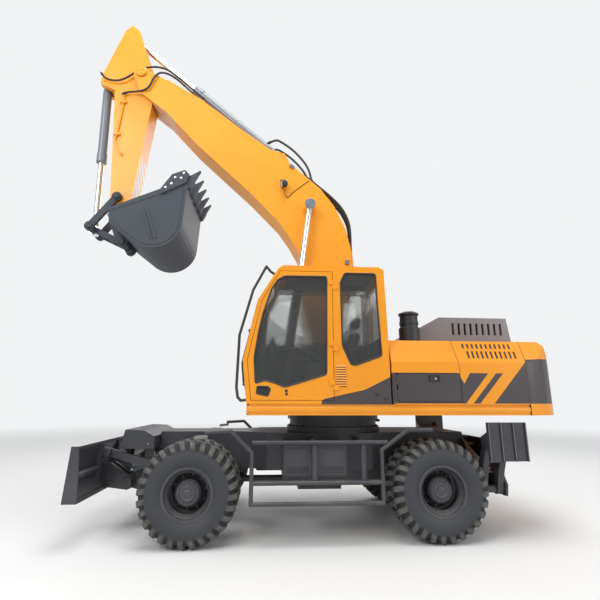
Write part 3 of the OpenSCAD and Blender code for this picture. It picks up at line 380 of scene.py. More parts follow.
def finish_material(
    name, colour, rough=0.4, metal=0.0, coat=0.0, drift=0.06, scuff=0.3, scuff_colour=None, dust=0.5, reach=1.2,
    bump=0.02, grain=160.0, dust_colour=ROAD_DUST, shine=0.5):
    """colour drifts by +-drift; scuffs, then dust lie over it; roughness = rough + 0.35 dust + 0.15 scuffs."""
    material, tree, shader = new_material(
        name, (("Metallic", metal), ("Coat Weight", coat), ("Coat Roughness", 0.12), ("Specular IOR Level", shine)))
    darker = tuple(c * (1 - 2 * drift) for c in colour)
    base = mix_colour(tree, ramp(tree, noise(tree, coords(tree), 1.1, 4.0), 0.3, 0.7), darker, tuple(colour))
    scuffs = group_node(tree, SCUFFS, Amount=scuff)
    dusty = group_node(tree, DUST, Amount=dust, Reach=reach)
    worn = mix_colour(tree, scuffs, base, scuff_colour or tuple(min(1.0, c * 1.5 + 0.05) for c in colour))
    rougher = math_node(tree, "MULTIPLY_ADD", dusty, 0.35, rough)
    rougher = math_node(tree, "MULTIPLY_ADD", scuffs, 0.15, rougher, clamp=True)
    set_sockets(tree, shader, (("Base Color", mix_colour(tree, dusty, worn, dust_colour)), ("Roughness", rougher)))
    if bump:
        height = group_node(tree, GRAIN, Scale=grain)
        bumps = add_node(tree, "Bump", (("Strength", bump), ("Distance", 0.004), ("Height", height)))
        tree.links.new(bumps, shader.inputs["Normal"])
    return material


FINISHES = {
    "body_yellow": dict(colour=(0.8, 0.285, 0.002), rough=0.36, coat=0.1, dust=0.22, reach=1.5, scuff=0.08, bump=0.03),
    "boom_yellow": dict(colour=(0.86, 0.335, 0.006), rough=0.4, coat=0.06, dust=0.15, reach=1.5, scuff=0.1, bump=0.03),
    "chassis_grey": dict(colour=(0.036, 0.038, 0.046), rough=0.46, coat=0.08, dust=0.3, reach=1.1, scuff=0.22,
                         scuff_colour=(0.15, 0.15, 0.15), bump=0.05),
    "tool_grey": dict(colour=(0.072, 0.08, 0.096), rough=0.58, shine=0.12, dust=0.2, reach=3.0, scuff=0.4,
                      scuff_colour=(0.16, 0.145, 0.13), bump=0.08),
    "hood_silver": dict(colour=(0.185, 0.172, 0.176), rough=0.4, coat=0.15, dust=0.25, reach=1.5, scuff=0.1, bump=0.03),
    "door_grey": dict(colour=(0.05, 0.041, 0.042), rough=0.38, coat=0.12, dust=0.22, reach=1.8, scuff=0.1, bump=0.02),
    "cylinder_grey": dict(colour=(0.17, 0.195, 0.23), rough=0.35, coat=0.3, dust=0.3, reach=1.6, scuff=0.25, bump=0.03),
    "rod_chrome": dict(colour=(0.78, 0.79, 0.8), rough=0.1, metal=1.0, dust=0.12, reach=1.6, scuff=0.1, bump=0.0,
                       drift=0.02),
    "tyre_rubber": dict(colour=(0.04, 0.043, 0.049), rough=0.64, shine=0.35, dust=0.16, reach=1.3, scuff=0.12,
                        scuff_colour=(0.14, 0.14, 0.14), bump=0.12,
                        grain=120.0, drift=0.08, dust_colour=(0.24, 0.24, 0.225)),
    "black_trim": dict(colour=(0.022, 0.022, 0.024), rough=0.45, dust=0.25, reach=2.0, scuff=0.15, bump=0.08,
                       grain=260.0),
    "cab_inside": dict(colour=(0.045, 0.045, 0.05), rough=0.6, dust=0.15, reach=1.8, scuff=0.1, bump=0.15, grain=300.0),
    "seat_fabric": dict(colour=(0.05, 0.05, 0.056), rough=0.9, dust=0.1, reach=1.8, scuff=0.05, bump=0.3, grain=420.0),
    "engine_block": dict(colour=(0.09, 0.09, 0.095), rough=0.65, metal=0.3, dust=0.5, reach=2.4, scuff=0.4, bump=0.25,
                         grain=70.0),
}
MATERIALS = {name: finish_material(name, **values) for name, values in FINISHES.items()}


def glass_material():
    """Lightly tinted safety glass: plain transmission, with an alpha so that it exports as see-through."""
    return new_material(
        "window_glass",
        (
            ("Base Color", (0.27, 0.285, 0.275, 1)), ("Roughness", 0.03), ("IOR", 1.45), ("Transmission Weight", 0.85),
            ("Alpha", 0.55)))[0]


MATERIALS["window_glass"] = glass_material()
print("materials:", sorted(MATERIALS))

# %% Dress every CAD node from its own slot in the record
SLOT_OF = {row["node"]: row["material_slot"] for row in frame["record"]["subparts"]}
for node_name, obj in NODES.items():
    obj.data.materials.clear()
    obj.data.materials.append(MATERIALS[SLOT_OF[node_name]])
print("dressed", len(NODES), "nodes")

# %% [markdown]
# ## Painted bands
# The grey bands and slanted stripes on the flanks are paint, not parts, so they are drawn by the material:
# each edge is a straight line in the side view, and a point is on one side of it or the other. Multiplying
# such half-planes gives a shape, and the larger of two shapes joins them.

# %% Band shapes
def side_of(tree, place, a, b):
    """1 where the side-view point (x, z) lies right of the line from a to b, else 0: the sign of a cross product."""
    (ax, az), (bx, bz) = a, b
    ax, bx = ax + MIDDLE_X, bx + MIDDLE_X
    x, z = (math_node(tree, "SUBTRACT", place[i], v) for i, v in ((0, ax), (2, az)))
    cross = math_node(tree, "SUBTRACT", times(tree, x, bz - az), times(tree, z, bx - ax))
    return math_node(tree, "GREATER_THAN", cross, 0.0)


def shape_of(tree, place, corners):
    """1 inside a convex outline given clockwise as seen from the left side, else 0: the product of its half-planes."""
    return times(tree, *[side_of(tree, place, a, b) for a, b in zip(corners, corners[1:] + corners[:1])])


BAND_LOW, BAND_HIGH = 1.495, 1.845
BANDS = [
    [(0.87, BAND_LOW), (0.87, BAND_HIGH), (1.67, BAND_HIGH), (1.745, 1.716), (1.745, BAND_LOW)],
    [(1.74, BAND_LOW), (1.74, 1.721), (1.817, BAND_HIGH), (2.042, BAND_HIGH), (1.741, BAND_LOW)],
    [(1.828, BAND_LOW), (2.138, BAND_HIGH), (2.223, BAND_HIGH), (1.911, BAND_LOW)],
    [(2.081, BAND_LOW), (2.535, 2.004), (2.6, 2.015), (2.6, BAND_LOW)],
    [(2.52, BAND_LOW), (2.52, 2.01), (3.3, 2.05), (3.3, BAND_LOW)],
    [(0.045, 1.47), (0.055, 1.52), (0.085, 1.545), (0.56, 1.648), (0.56, 1.47)],
    [(0.5, 1.47), (0.5, 1.632), (0.9, 1.757), (0.9, 1.47)],
    [(0.5, 1.6), (0.525, 1.631), (0.9, 1.815), (0.9, 1.6)],
]
# Painted shade: thin near-black lines where panels meet, for the shade in the gaps between them.
GAP_SHADE_LINES = [
    [(1.697, 1.843), (1.655, 2.25), (1.661, 2.25), (1.703, 1.843)],
    [(2.5175, 1.3), (2.5175, 2.3), (2.5235, 2.3), (2.5235, 1.3)],
]


def build_shapes(name, shapes):
    """The mask of some shapes: the largest of them at this point of the side view."""
    tree, _, end = new_group(name, "Mask")
    place = xyz(tree, coords(tree))
    parts = [shape_of(tree, place, corners) for corners in shapes]
    result = parts[0]
    for part in parts[1:]:
        result = math_node(tree, "MAXIMUM", result, part)
    tree.links.new(result, end)
    return tree


def paint_over(material, mask_of, colour):
    """Puts a colour where mask_of(tree) says, under the dust: the dust's mix node takes it as its clean colour."""
    tree = material.node_tree
    shader = tree.nodes["Principled BSDF"]
    dust_mix = shader.inputs["Base Color"].links[0].from_node
    paint = dust_mix.inputs[6].links[0].from_socket
    tree.links.new(mix_colour(tree, mask_of(tree), paint, colour), dust_mix.inputs[6])


FLANK_BANDS, PANEL_GAP_SHADE = build_shapes("flank_bands", BANDS), build_shapes("panel_gap_shade", GAP_SHADE_LINES)
MATERIALS["flank_paint"] = finish_material("flank_paint", **FINISHES["body_yellow"])
# The grey bands are print; the near-black lines at the panel gaps are painted shade.
for group, colour in ((FLANK_BANDS, FINISHES["door_grey"]["colour"]), (PANEL_GAP_SHADE, (0.018, 0.01, 0.006))):
    paint_over(MATERIALS["flank_paint"], lambda tree: group_node(tree, group), colour)
for node_name in ("hood", "counterweight", "cab_shell", "cab_door", "right_tanks"):
    NODES[node_name].data.materials[0] = MATERIALS["flank_paint"]


def stripe_mask(tree, normal, low, high, lean, pitch=0.15):
    """Slanted stripes on faces that look along normal, for z in low..high: a square wave of (z + lean y) / pitch."""
    facing = add_node(tree, "VectorMath", ((0, coords(tree, "Normal")), (1, normal)), "Value", operation="DOT_PRODUCT")
    _, y, z = xyz(tree, coords(tree))
    wave = math_node(tree, "FRACT", math_node(tree, "DIVIDE", math_node(tree, "MULTIPLY_ADD", y, lean, z), pitch))
    above = [math_node(tree, "GREATER_THAN", v, least) for v, least in ((wave, 0.5), (facing, 0.94), (z, low))]
    return times(tree, *above, math_node(tree, "LESS_THAN", z, high))


STRIPES = {"boom": ((-0.68, 0.0, -0.73), 5.86, 6.2, 0.9), "stick": ((0.996, 0.0, 0.085), 4.62, 5.24, 0.9)}
for node_name, (normal, low, high, lean) in STRIPES.items():
    striped = MATERIALS["striped_" + node_name] = finish_material("striped_" + node_name, **FINISHES["boom_yellow"])
    paint_over(striped, lambda tree: stripe_mask(tree, normal, low, high, lean), (0.62, 0.6, 0.57))
    NODES[node_name].data.materials[0] = striped
print("band shapes:", len(BANDS), "stripes:", len(STRIPES))

# %% [markdown]
# ## Tools for surfaces
# Every new piece is a grid of points worked out in one go with numpy. Four helpers cover nearly all of them:
# a grid of faces, a profile spun about an axis, a tube along a path, and a flat outline given a thickness.

# %% Surface helpers
def grid_faces(nu, nv, wrap_u=False, wrap_v=False, start=0):
    """Quads of a grid whose point (i, j) is number i * nv + j; a wrapped direction joins its last row to its first."""
    i = np.arange(nu if wrap_u else nu - 1)[:, None]
    j = np.arange(nv if wrap_v else nv - 1)[None, :]
    i2, j2 = (i + 1) % nu, (j + 1) % nv
    quads = np.stack(np.broadcast_arrays(i * nv + j, i2 * nv + j, i2 * nv + j2, i * nv + j2), axis=-1)
    return quads.reshape(-1, 4) + start


def joined(parts):
    """Several (points, faces) pairs as one: the faces of each are shifted by the number of points before it."""
    points, faces, n = [], [], 0
    for p, f in parts:
        p = np.asarray(p, float).reshape(-1, 3)
        points.append(p)
        faces += [[int(v) + n for v in row] for row in f]
        n += len(p)
    return np.concatenate(points), faces


def add_piece(name, body, material, *parts, slot=None, replaces=(), bevel=0.0, sharp=35.0, merge=1e-5, mark=None):
    """Joins parts, each (points, faces), to one mesh object with outward normals, and gives it its body and material.
    slot is not used. mark is a number for each point that the material can read."""
    points, faces = joined(parts)
    mesh = bpy.data.meshes.new(name)
    mesh.from_pydata(points.tolist(), [], faces)
    if mark is not None:
        mesh.attributes.new("mark", "FLOAT", "POINT").data.foreach_set("value", np.asarray(mark, np.float32))
    bm = bmesh.new()
    bm.from_mesh(mesh)
    bmesh.ops.remove_doubles(bm, verts=bm.verts, dist=merge)
    bmesh.ops.dissolve_degenerate(bm, edges=bm.edges, dist=merge)
    bmesh.ops.recalc_face_normals(bm, faces=bm.faces)
    for f in bm.faces:
        f.smooth = True
    bm.to_mesh(mesh)
    bm.free()
    obj = put(name, mesh)
    mesh.materials.append(MATERIALS[material])
    if bevel:
        m = obj.modifiers.new("edges", "BEVEL")
        m.width, m.segments, m.limit_method, m.angle_limit = bevel, 2, "ANGLE", math.radians(40)
    mesh.set_sharp_from_angle(angle=math.radians(sharp))
    if body:
        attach(obj, body)
    if replaces:
        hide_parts(*replaces)
    return obj


def unit(v):
    """Vectors divided by their length along the last axis."""
    return v / np.linalg.norm(v, axis=-1, keepdims=True)


def spin_grid(profile, centres, axis, sides):
    """Points centre + axis * along + radius * (e cos t + f sin t), for each centre, turn t and (radius, along) pair."""
    profile, centres = np.asarray(profile, float), np.asarray(centres, float).reshape(-1, 3)
    axis = unit(np.asarray(axis, float))
    e = unit(np.cross(axis, [0.0, 0.0, 1.0] if abs(axis[2]) < 0.9 else [1.0, 0.0, 0.0]))
    f = np.cross(axis, e)
    t = np.linspace(0, 2 * np.pi, sides, endpoint=False)
    ring = np.cos(t)[:, None] * e + np.sin(t)[:, None] * f
    points = centres[:, None, None] + profile[:, 1, None] * axis + profile[:, 0, None] * ring[:, None]
    n, m = len(centres), len(profile)
    faces = np.concatenate([grid_faces(sides, m, wrap_u=True, start=k * sides * m) for k in range(n)])
    return points.reshape(-1, 3), faces


def smooth_path(points, rounds=3):
    """Corner cutting: each round puts points at 1/4 and 3/4 of every side, and keeps both ends."""
    p = np.asarray(points, float)
    for _ in range(rounds):
        q = np.empty((2 * (len(p) - 1), p.shape[1]))
        q[0::2] = 0.75 * p[:-1] + 0.25 * p[1:]
        q[1::2] = 0.25 * p[:-1] + 0.75 * p[1:]
        p = np.concatenate([p[:1], q, p[-1:]])
    return p


def rings_along(path, e, f, radius, sides):
    """A ring for each point of a path: path + radius (e cos t + f sin t), with e and f at right angles to the path."""
    t = np.linspace(0, 2 * np.pi, sides, endpoint=False)[:, None]
    return path[:, None] + radius * (np.cos(t) * e[:, None] + np.sin(t) * f[:, None])


def tube_grid(path, radius, sides):
    """Rings of the given radius (one number, or one for each point) along a path, with closed ends."""
    path = np.asarray(path, float)
    tangent = unit(np.gradient(path, axis=0))
    e = unit(np.cross(tangent, (0.0, 1.0, 0.0) if np.abs(tangent[:, 1]).max() < 0.95 else (0.0, 0.0, 1.0)))
    radius = np.broadcast_to(radius, len(path)).reshape(-1, 1, 1)
    rings = rings_along(path, e, np.cross(tangent, e), radius, sides)
    ends = [np.repeat(path[[i]][:, None], sides, axis=1) for i in (0, -1)]
    points = np.concatenate([ends[0], rings, ends[1]])
    return points.reshape(-1, 3), grid_faces(len(path) + 2, sides, wrap_v=True)


def ring_points(centre, radius, count, axis=1, phase=0.0):
    """count points round a centre, in the side view (axis 1) or from above (axis 2): centre + radius (cos t, sin t)."""
    t = np.arange(count) * 2 * np.pi / count + phase
    points = np.tile(np.asarray(centre, float), (count, 1))
    points[:, 0] += radius * np.cos(t)
    points[:, 3 - axis] += radius * np.sin(t)
    return points


def plate_grid(outline, y0, y1):
    """A side-view outline of (x, z) points between two values of y: two flat faces and a ring of quads."""
    outline = np.asarray(outline, float)
    n = len(outline)
    near = np.stack([outline[:, 0], np.full(n, y0), outline[:, 1]], axis=1)
    far = near + [0.0, y1 - y0, 0.0]
    i = np.arange(n)
    ring = np.stack([i, (i + 1) % n, (i + 1) % n + n, i + n], axis=1)
    return np.concatenate([near, far]), [list(range(n)), list(range(2 * n - 1, n - 1, -1))] + ring.tolist()


print("helpers ready")

# %% [markdown]
# ## Tyres
# The real tyres suit yard and road: a smooth bulging sidewall and deep blocks over the shoulder.
# A texture would look flat at the outline, so the blocks are real relief: one closed section is swept round
# the axle, and a wave round the wheel lifts the surface along its own normal where a block is.

# %% Tyre surface
LUGS, LUG_DEPTH = 28, 0.028
SECTION = mm(
    (-80, 282), (-100, 266), (-104, 286), (-120, 306), (-135, 350), (-136, 385), (-129, 420), (-119, 448), (-108, 473),
    (-96, 494), (-80, 508), (-60, 515.5), (-30, 517))


def marked(tree, sign):
    """The piece's own mark, times sign and held to 0..1: +1 marks the blocks, -1 the gaps between them."""
    return times(tree, add_node(tree, "Attribute", output="Fac", attribute_name="mark"), sign, clamp=True)


def dusty_tread(tree):
    """Dry mud on the blocks: their mark, broken up by a noise."""
    return times(tree, marked(tree, 1.0), ramp(tree, noise(tree, coords(tree), 26.0, 5.0, 0.65), 0.3, 0.66), clamp=True)


def painted_gap_shade(tree):
    """Painted shade in the gaps between the blocks: the rubber there is coloured near-black."""
    return marked(tree, -1.3)


# Painted shade: near-black colour in the gaps between the tread blocks, under the dust.
paint_over(MATERIALS["tyre_rubber"], painted_gap_shade, (0.012, 0.012, 0.012))
paint_over(MATERIALS["tyre_rubber"], dusty_tread, (0.125, 0.122, 0.105))


def rise(v, low, high):
    """A smooth step from 0 at low to 1 at high: t * t * (3 - 2 t)."""
    t = np.clip((v - low) / (high - low), 0, 1)
    return t * t * (3 - 2 * t)


def tyre_grid(centre, around=LUGS * 12, across=48):
    """The section, smoothed and spun about y, then lifted along its normal by LUG_DEPTH times the block wave."""
    half = np.array(SECTION)
    line = smooth_path(np.concatenate([half, (half * [-1, 1])[::-1]]))
    length = np.concatenate([[0], np.cumsum(np.linalg.norm(np.diff(line, axis=0), axis=1))])
    even = np.linspace(0, length[-1], across)
    y, r = np.interp(even, length, line[:, 0]), np.interp(even, length, line[:, 1])
    slope = unit(np.stack([np.gradient(y), np.gradient(r)], axis=1))
    normal_y, normal_r = -slope[:, 1], slope[:, 0]
    t = np.linspace(0, 2 * np.pi, around, endpoint=False)[:, None]
    turn = LUGS * t / (2 * np.pi) + 0.5 * (y > 0) + 3.0 * np.abs(y)
    wave = rise(np.cos(2 * np.pi * turn), -0.34, 0.1)
    zone = rise(r, 0.438, 0.456) * np.ones_like(t)
    block = wave * zone * rise(np.abs(y), 0.006, 0.016)
    rr, yy = r + block * LUG_DEPTH * normal_r, y + block * LUG_DEPTH * 0.6 * normal_y
    points = np.stack([centre[0] + rr * np.cos(t), centre[1] + yy, centre[2] + rr * np.sin(t)], axis=-1)
    return points, grid_faces(around, across, wrap_u=True, wrap_v=True), zone * (2 * block - 1)


WHEELS = {"front_left": (0, -1), "front_right": (0, 1), "rear_left": (1, -1), "rear_right": (1, 1)}
for place, (axle, sign) in WHEELS.items():
    pair = [tyre_grid((AXLE_X[axle], sign * y, AXLE_Z)) for y in (TWIN_OUT, TWIN_IN)]
    add_piece(
        "tread_tyres_" + place, "wheel_" + place, "tyre_rubber", *[p[:2] for p in pair], replaces=["tyres_" + place],
        sharp=55, merge=1e-6, mark=np.concatenate([p[2].reshape(-1) for p in pair]))
print("tyres: 4 pairs,", LUGS, "blocks round each shoulder")

# %% [markdown]
# ## Wheel nuts
# Ten nuts hold each rim. They sit deep in the dish, so a plain six-sided nut with a chamfer is enough.

# %% Wheel nuts
NUT = mm((0, 24), (12, 24), (17, 20), (17, 0))
for place, (axle, sign) in WHEELS.items():
    centres = ring_points((AXLE_X[axle], sign * (TWIN_OUT - 0.102), AXLE_Z), 0.178, 10, phase=0.2)
    add_piece("nuts_" + place, "wheel_" + place, "chassis_grey", spin_grid(NUT, centres, (0, sign, 0), 6))
print("wheel nuts: 40")

# %% [markdown]
# ## Hoses and pipes of the arm
# A hose is a tube along a smooth curve. Most hang free between two fittings, so the curve is drawn through
# points read off the side view and its corners are cut three times. A hose that crosses a hinge is given to no
# body, so it stays where it is drawn in this pose.

# %% Hoses
HOSE_R = 0.017
FITTING = mm((0, -45), (14, -45), (14, -20), (24, -18), (24, 12), (19, 14), (19, 40), (0, 40))


def hose(name, points, y, body, radius, to_body=None, material="black_trim", fittings=True):
    """A tube through side-view points (x, z) at y (one number, or one for each point), with a fitting on each end."""
    points = np.asarray(points, float)
    y = np.broadcast_to(np.asarray(y, float), (len(points),))
    path = smooth_path(np.stack([points[:, 0] + MIDDLE_X, y, points[:, 1]], axis=1))
    parts = [tube_grid(path, radius, 10)]
    if fittings:
        scale = np.array([[radius / HOSE_R, 1.0]])
        for p, q in ((path[0], path[1]), (path[-1], path[-2])):
            parts.append(spin_grid(np.array(FITTING) * scale, p, q - p, 6))
    piece = add_piece(name, body if to_body is None else None, material, *parts, slot="black_trim")
    if to_body is not None:
        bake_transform(piece)
    return piece


BOOM_RISE = [
    (0.84, 1.47), (0.83, 1.62), (0.78, 1.86), (0.62, 2.12), (0.545, 2.42), (0.62, 2.9), (0.7, 3.43), (0.672, 3.83),
    (0.675, 4.03), (0.665, 4.21), (0.62, 4.36), (0.54, 4.51), (0.434, 4.63), (0.297, 4.76), (0.165, 4.87), (0.03, 4.99),
    (-0.091, 5.06), (-0.2, 5.13)]
for i, y in enumerate((-0.02, 0.04, 0.1, 0.16)):
    shift = np.array([0.012 * (i % 2), 0.0])
    hose(
        "boom_rise_hose_%d" % (i + 1), np.array(BOOM_RISE) + shift, ARM_Y - 0.08 + y, "upper", 0.019, "boom")
for i, y in enumerate((-0.13, 0.13)):
    hose(
        "arm_cylinder_hose_%d" % (i + 1),
        [
            (-0.62, 5.6), (-0.5, 5.66), (-0.4, 5.6), (-0.27, 5.51), (-0.14, 5.38), (-0.026, 5.23), (0.035, 5.09),
            (0.06, 4.95)],
        ARM_Y + y, "boom", 0.018)
for i, y in enumerate((-0.14, 0.3)):
    hose(
        "bucket_cylinder_hose_%d" % (i + 1),
        [
            (-1.72, 6.32), (-1.86, 6.44), (-2.1, 6.66), (-2.38, 6.86), (-2.68, 6.84), (-2.87, 6.69), (-2.97, 6.605),
            (-3.08, 6.553), (-3.2, 6.555), (-3.3, 6.6), (-3.345, 6.66)],
        y, "boom", 0.016, "stick")
hose(
    "stick_side_hose",
    [
        (-2.965, 6.335), (-2.9, 6.362), (-2.763, 6.362), (-2.62, 6.365), (-2.54, 6.451), (-2.512, 6.596), (-2.4, 6.74),
        (-2.2, 6.7), (-1.95, 6.5), (-1.72, 6.3)],
    (-0.125, -0.13, -0.145, -0.19, -0.2, -0.2, -0.18, -0.12, -0.06, -0.05), "stick", 0.016, "boom")
hose(
    "joint_loop_hose",
    [(-2.68, 6.24), (-2.631, 6.202), (-2.547, 6.189), (-2.461, 6.234), (-2.409, 6.347), (-2.45, 6.5)], 0.1, "stick",
    0.014, "boom")
hose(
    "stick_side_pipe",
    [
        (-2.971, 6.244), (-2.975, 6.071), (-2.997, 5.813), (-3.021, 5.587), (-3.04, 5.515), (-3.01, 5.402),
        (-2.923, 5.265)],
    -0.108, "stick", 0.013, material="boom_yellow")

# %% [markdown]
# ## Saddle clamps
# Pipes and hoses are held down by small two-bolt saddles. Each is a short plate with rounded edges, so the
# light catches its rim.

# %% Clamps
def block_grid(centre, size, turn=0.0):
    """The eight corners of a block, turned in the side view about its centre, and its six faces."""
    corners = np.array([[x, y, z] for x in (-0.5, 0.5) for y in (-0.5, 0.5) for z in (-0.5, 0.5)]) * size
    x, z = turned((corners[:, 0], corners[:, 2]), turn)
    points = np.stack([x, corners[:, 1], z], axis=1) + centre
    return points, [(0, 1, 3, 2), (4, 6, 7, 5), (0, 4, 5, 1), (2, 3, 7, 6), (0, 2, 6, 4), (1, 5, 7, 3)]


STICK_FACE, BOOM_FACE = ARM_Y - 0.17, ARM_Y - 0.24
add_piece(
    "stick_pipe_clamps", "stick", "boom_yellow",
    block_grid(at(-2.972, STICK_FACE - 0.018, 6.19), (0.1, 0.036, 0.045), 3),
    block_grid(at(-3.018, STICK_FACE - 0.018, 5.6), (0.1, 0.036, 0.045), 5), bevel=0.006)
add_piece(
    "boom_clamps", "boom", "hood_silver", block_grid(at(-0.257, BOOM_FACE + 0.02, 5.115), (0.075, 0.09, 0.055), 42),
    block_grid(at(0.585, BOOM_FACE + 0.02, 3.548), (0.06, 0.09, 0.075), 10), bevel=0.008)
print("clamps: 4")

# %% [markdown]
# ## Pin ends
# Every hinge pin ends in a flat cap with two or three bolts. A cap is a spun profile, and its bolts are
# six-sided heads on a ring.

# %% Pin caps
CAP = [(0.0, 0.018), (0.88, 0.018), (1.0, 0.01), (1.0, 0.0)]
BOLT = mm((0, 11), (9, 11), (11.5, 8), (11.5, 0))


def pin_cap(name, place, y, radius, body, material="tool_grey", bolts=2):
    """Caps on both outer faces, y from the arm's middle; profile radii are multiples of the cap's radius."""
    parts = []
    for sign in (-1, 1):
        centre = np.array([place[0], ARM_Y + sign * y, place[1]])
        ring = ring_points(centre + [0, sign * 0.018, 0], 0.55 * radius, bolts, phase=0.8)
        parts += [
            spin_grid(np.array(CAP) * [radius, 1.0], centre, (0, sign, 0), 28), spin_grid(BOLT, ring, (0, sign, 0), 6)]
    add_piece(name, body, material, *parts)


pin_cap("boom_cylinder_pin_caps", on_boom(-2.133, 1.041), 0.36 + 0.055, 0.082, "boom_rods", "cylinder_grey")
pin_cap("stick_pin_caps", on_boom(-BOOM_LENGTH, 0), 0.255, 0.085, "boom", "boom_yellow", 3)
pin_cap("bucket_pin_caps", on_stick(-STICK_LENGTH, 0), 0.245, 0.07, "bucket")
pin_cap("guide_pin_caps", on_stick(-2.207, 0.072), 0.245, 0.05, "stick")
pin_cap("link_pin_caps", on_stick(-2.711, 0.396), 0.241, 0.05, "guide_links")
pin_cap("bucket_link_pin_caps", on_bucket(0.076, 0.294), 0.24, 0.052, "bucket")
print("pin caps: 6 pairs")

# %% [markdown]
# ## Work lamp on the boom
# A round rubber-backed lamp on a bent strap, aimed at the bucket. The body is a spun bell and the lens is a
# shallow dome, which alone gets a bright finish.

# %% Lamps
MATERIALS["lamp_lens"] = finish_material(
    "lamp_lens", (0.8, 0.82, 0.82), rough=0.12, coat=0.6, drift=0.02, scuff=0.0, dust=0.15, bump=0.12, grain=240.0)
BELL = mm((0, -75), (25, -75), (45, -62), (64, -30), (70, 0), (70, 22), (62, 24), (60, 14))
LENS = mm((61, 12), (50, 20), (28, 26), (0, 28))
LAMP, AIM = at(-0.4, BOOM_FACE - 0.085, 4.765), (-1, -0.1, -0.25)
add_piece("boom_lamp", "boom", "black_trim", spin_grid(BELL, LAMP, AIM, 32))
add_piece("boom_lamp_lens", "boom", "lamp_lens", spin_grid(LENS, LAMP, AIM, 32), slot="black_trim")
add_piece(
    "boom_lamp_strap", "boom", "boom_yellow", block_grid(at(-0.355, BOOM_FACE - 0.004, 4.62), (0.035, 0.008, 0.22), 4),
    block_grid(at(-0.372, BOOM_FACE - 0.045, 4.7), (0.035, 0.09, 0.008), 4), bevel=0.002)
hose(
    "boom_lamp_wire",
    [(-0.375, 4.7), (-0.36, 4.6), (-0.33, 4.575), (-0.3, 4.59), (-0.25, 4.66), (-0.12, 4.77), (0.013, 4.877)],
    [BOOM_FACE - off for off in (0.06, 0.03, 0.012, 0.008, 0.006, 0.006, 0.004)], "boom", 0.005, fittings=False)
print("lamps: 1")

# %% [markdown]
# ## Hub covers and rim rings
# The planet gears of each hub sit under a pressed cover: a flat ring, a groove and a low dome, which is where
# the light makes its bright spot. Two rolled rings stiffen the rim. All are profiles spun about the axle.

# %% Hub covers
HUB = mm((0, 16), (20, 15.5), (36, 12), (44, 5), (52, 4), (58, 12), (74, 14), (84, 9), (88, 0), (88, -12))
RIM_LIP = mm(
    (246, 40), (240, 30), (236, 12), (228, 4), (222, 6), (217, -4), (210, -16), (207, -36), (211, -40), (238, -42),
    (249, 20), (246, 40))


def ring_profile(radius, thick, along, steps=8):
    """A round wire bent to a ring: (radius + thick cos t, along + thick sin t), closed."""
    t = np.linspace(0, 2 * np.pi, steps + 1)
    return np.stack([radius + thick * np.cos(t), along + thick * np.sin(t)], axis=1)


for place, (axle, sign) in WHEELS.items():
    centre = (AXLE_X[axle], sign * 1.171, AXLE_Z)
    bolts = ring_points((AXLE_X[axle], sign * 1.168, AXLE_Z), 0.107, 12)
    rims = [
        spin_grid(RIM_LIP, centre, (0, sign, 0), 72),
        spin_grid(ring_profile(0.262, 0.006, 0.044), centre, (0, sign, 0), 72)]
    add_piece(
        "hub_" + place, "wheel_" + place, "chassis_grey", spin_grid(HUB, centre, (0, sign, 0), 48),
        spin_grid(BOLT, bolts, (0, sign, 0), 6), *rims, sharp=50)
print("hub covers: 4, with 48 bolts")

# %% [markdown]
# ## Window seals
# Each pane sits in a black rubber profile. It is a round bead along the window's own outline, which is why a
# dark line runs round every window. Each corner of the outline becomes four points, which rounds it.

# %% Window seals
CAB_SIDE, FAR_SIDE, CAB_MIDDLE, SCREEN_W = -1.235, -0.363, -0.799, 0.712
DOOR_WINDOW = [
    (-0.367, 1.673), (0.114, 1.819), (0.128, 2.997), (-0.381, 2.992), (-0.466, 2.944), (-0.539, 2.828), (-0.629, 2.54),
    (-0.678, 2.32), (-0.723, 2.011), (-0.703, 1.716), (-0.594, 1.746), (-0.495, 1.723)]
QUARTER_WINDOW = [(-0.69, 1.6), (-0.56, 1.57), (-0.53, 1.65), (-0.56, 1.68), (-0.68, 1.68)]
REAR_SIDE_WINDOW = [
    (0.401, 1.938), (0.462, 1.926), (0.771, 2.039), (0.742, 2.673), (0.732, 3.045), (0.351, 3.045), (0.296, 2.929),
    (0.306, 2.157)]
FAR_WINDOW = [(-0.64, 1.98), (0.76, 2.04), (0.74, 2.98), (-0.44, 2.98), (-0.59, 2.68)]


def closed_tube(points, radius, sides=8):
    """Rings along a closed loop of 3-D points: the tangent is taken round the loop, and e lies in its flattest
    plane."""
    p = np.asarray(points, float)
    tangent = unit(np.roll(p, -1, axis=0) - np.roll(p, 1, axis=0))
    e = unit(np.cross(tangent, np.eye(3)[np.ptp(p, axis=0).argmin()]))
    return rings_along(p, e, np.cross(tangent, e), radius, sides), grid_faces(len(p), sides, wrap_u=True, wrap_v=True)


def loop_line(points, share=0.12, most=0.03):
    """A closed outline whose corners are cut off and bridged: each corner becomes four points near it."""
    p = np.asarray(points, float)
    back, on = np.roll(p, 1, axis=0) - p, np.roll(p, -1, axis=0) - p
    lb, lo = np.linalg.norm(back, axis=1)[:, None], np.linalg.norm(on, axis=1)[:, None]
    cb, co = np.minimum(share * lb, most) / lb, np.minimum(share * lo, most) / lo
    steps = [
        p + back * cb, p + (back * cb) * 0.42 + on * co * 0.12, p + (back * cb) * 0.12 + on * co * 0.42, p + on * co]
    return np.stack(steps, axis=1).reshape(-1, p.shape[1])


def seal(name, outline, y, body, radius=0.01):
    """A rubber bead along a side-view outline at y."""
    add_piece(name, body, "black_trim", closed_tube(loop_line(at_side(outline, y)), radius), sharp=70)


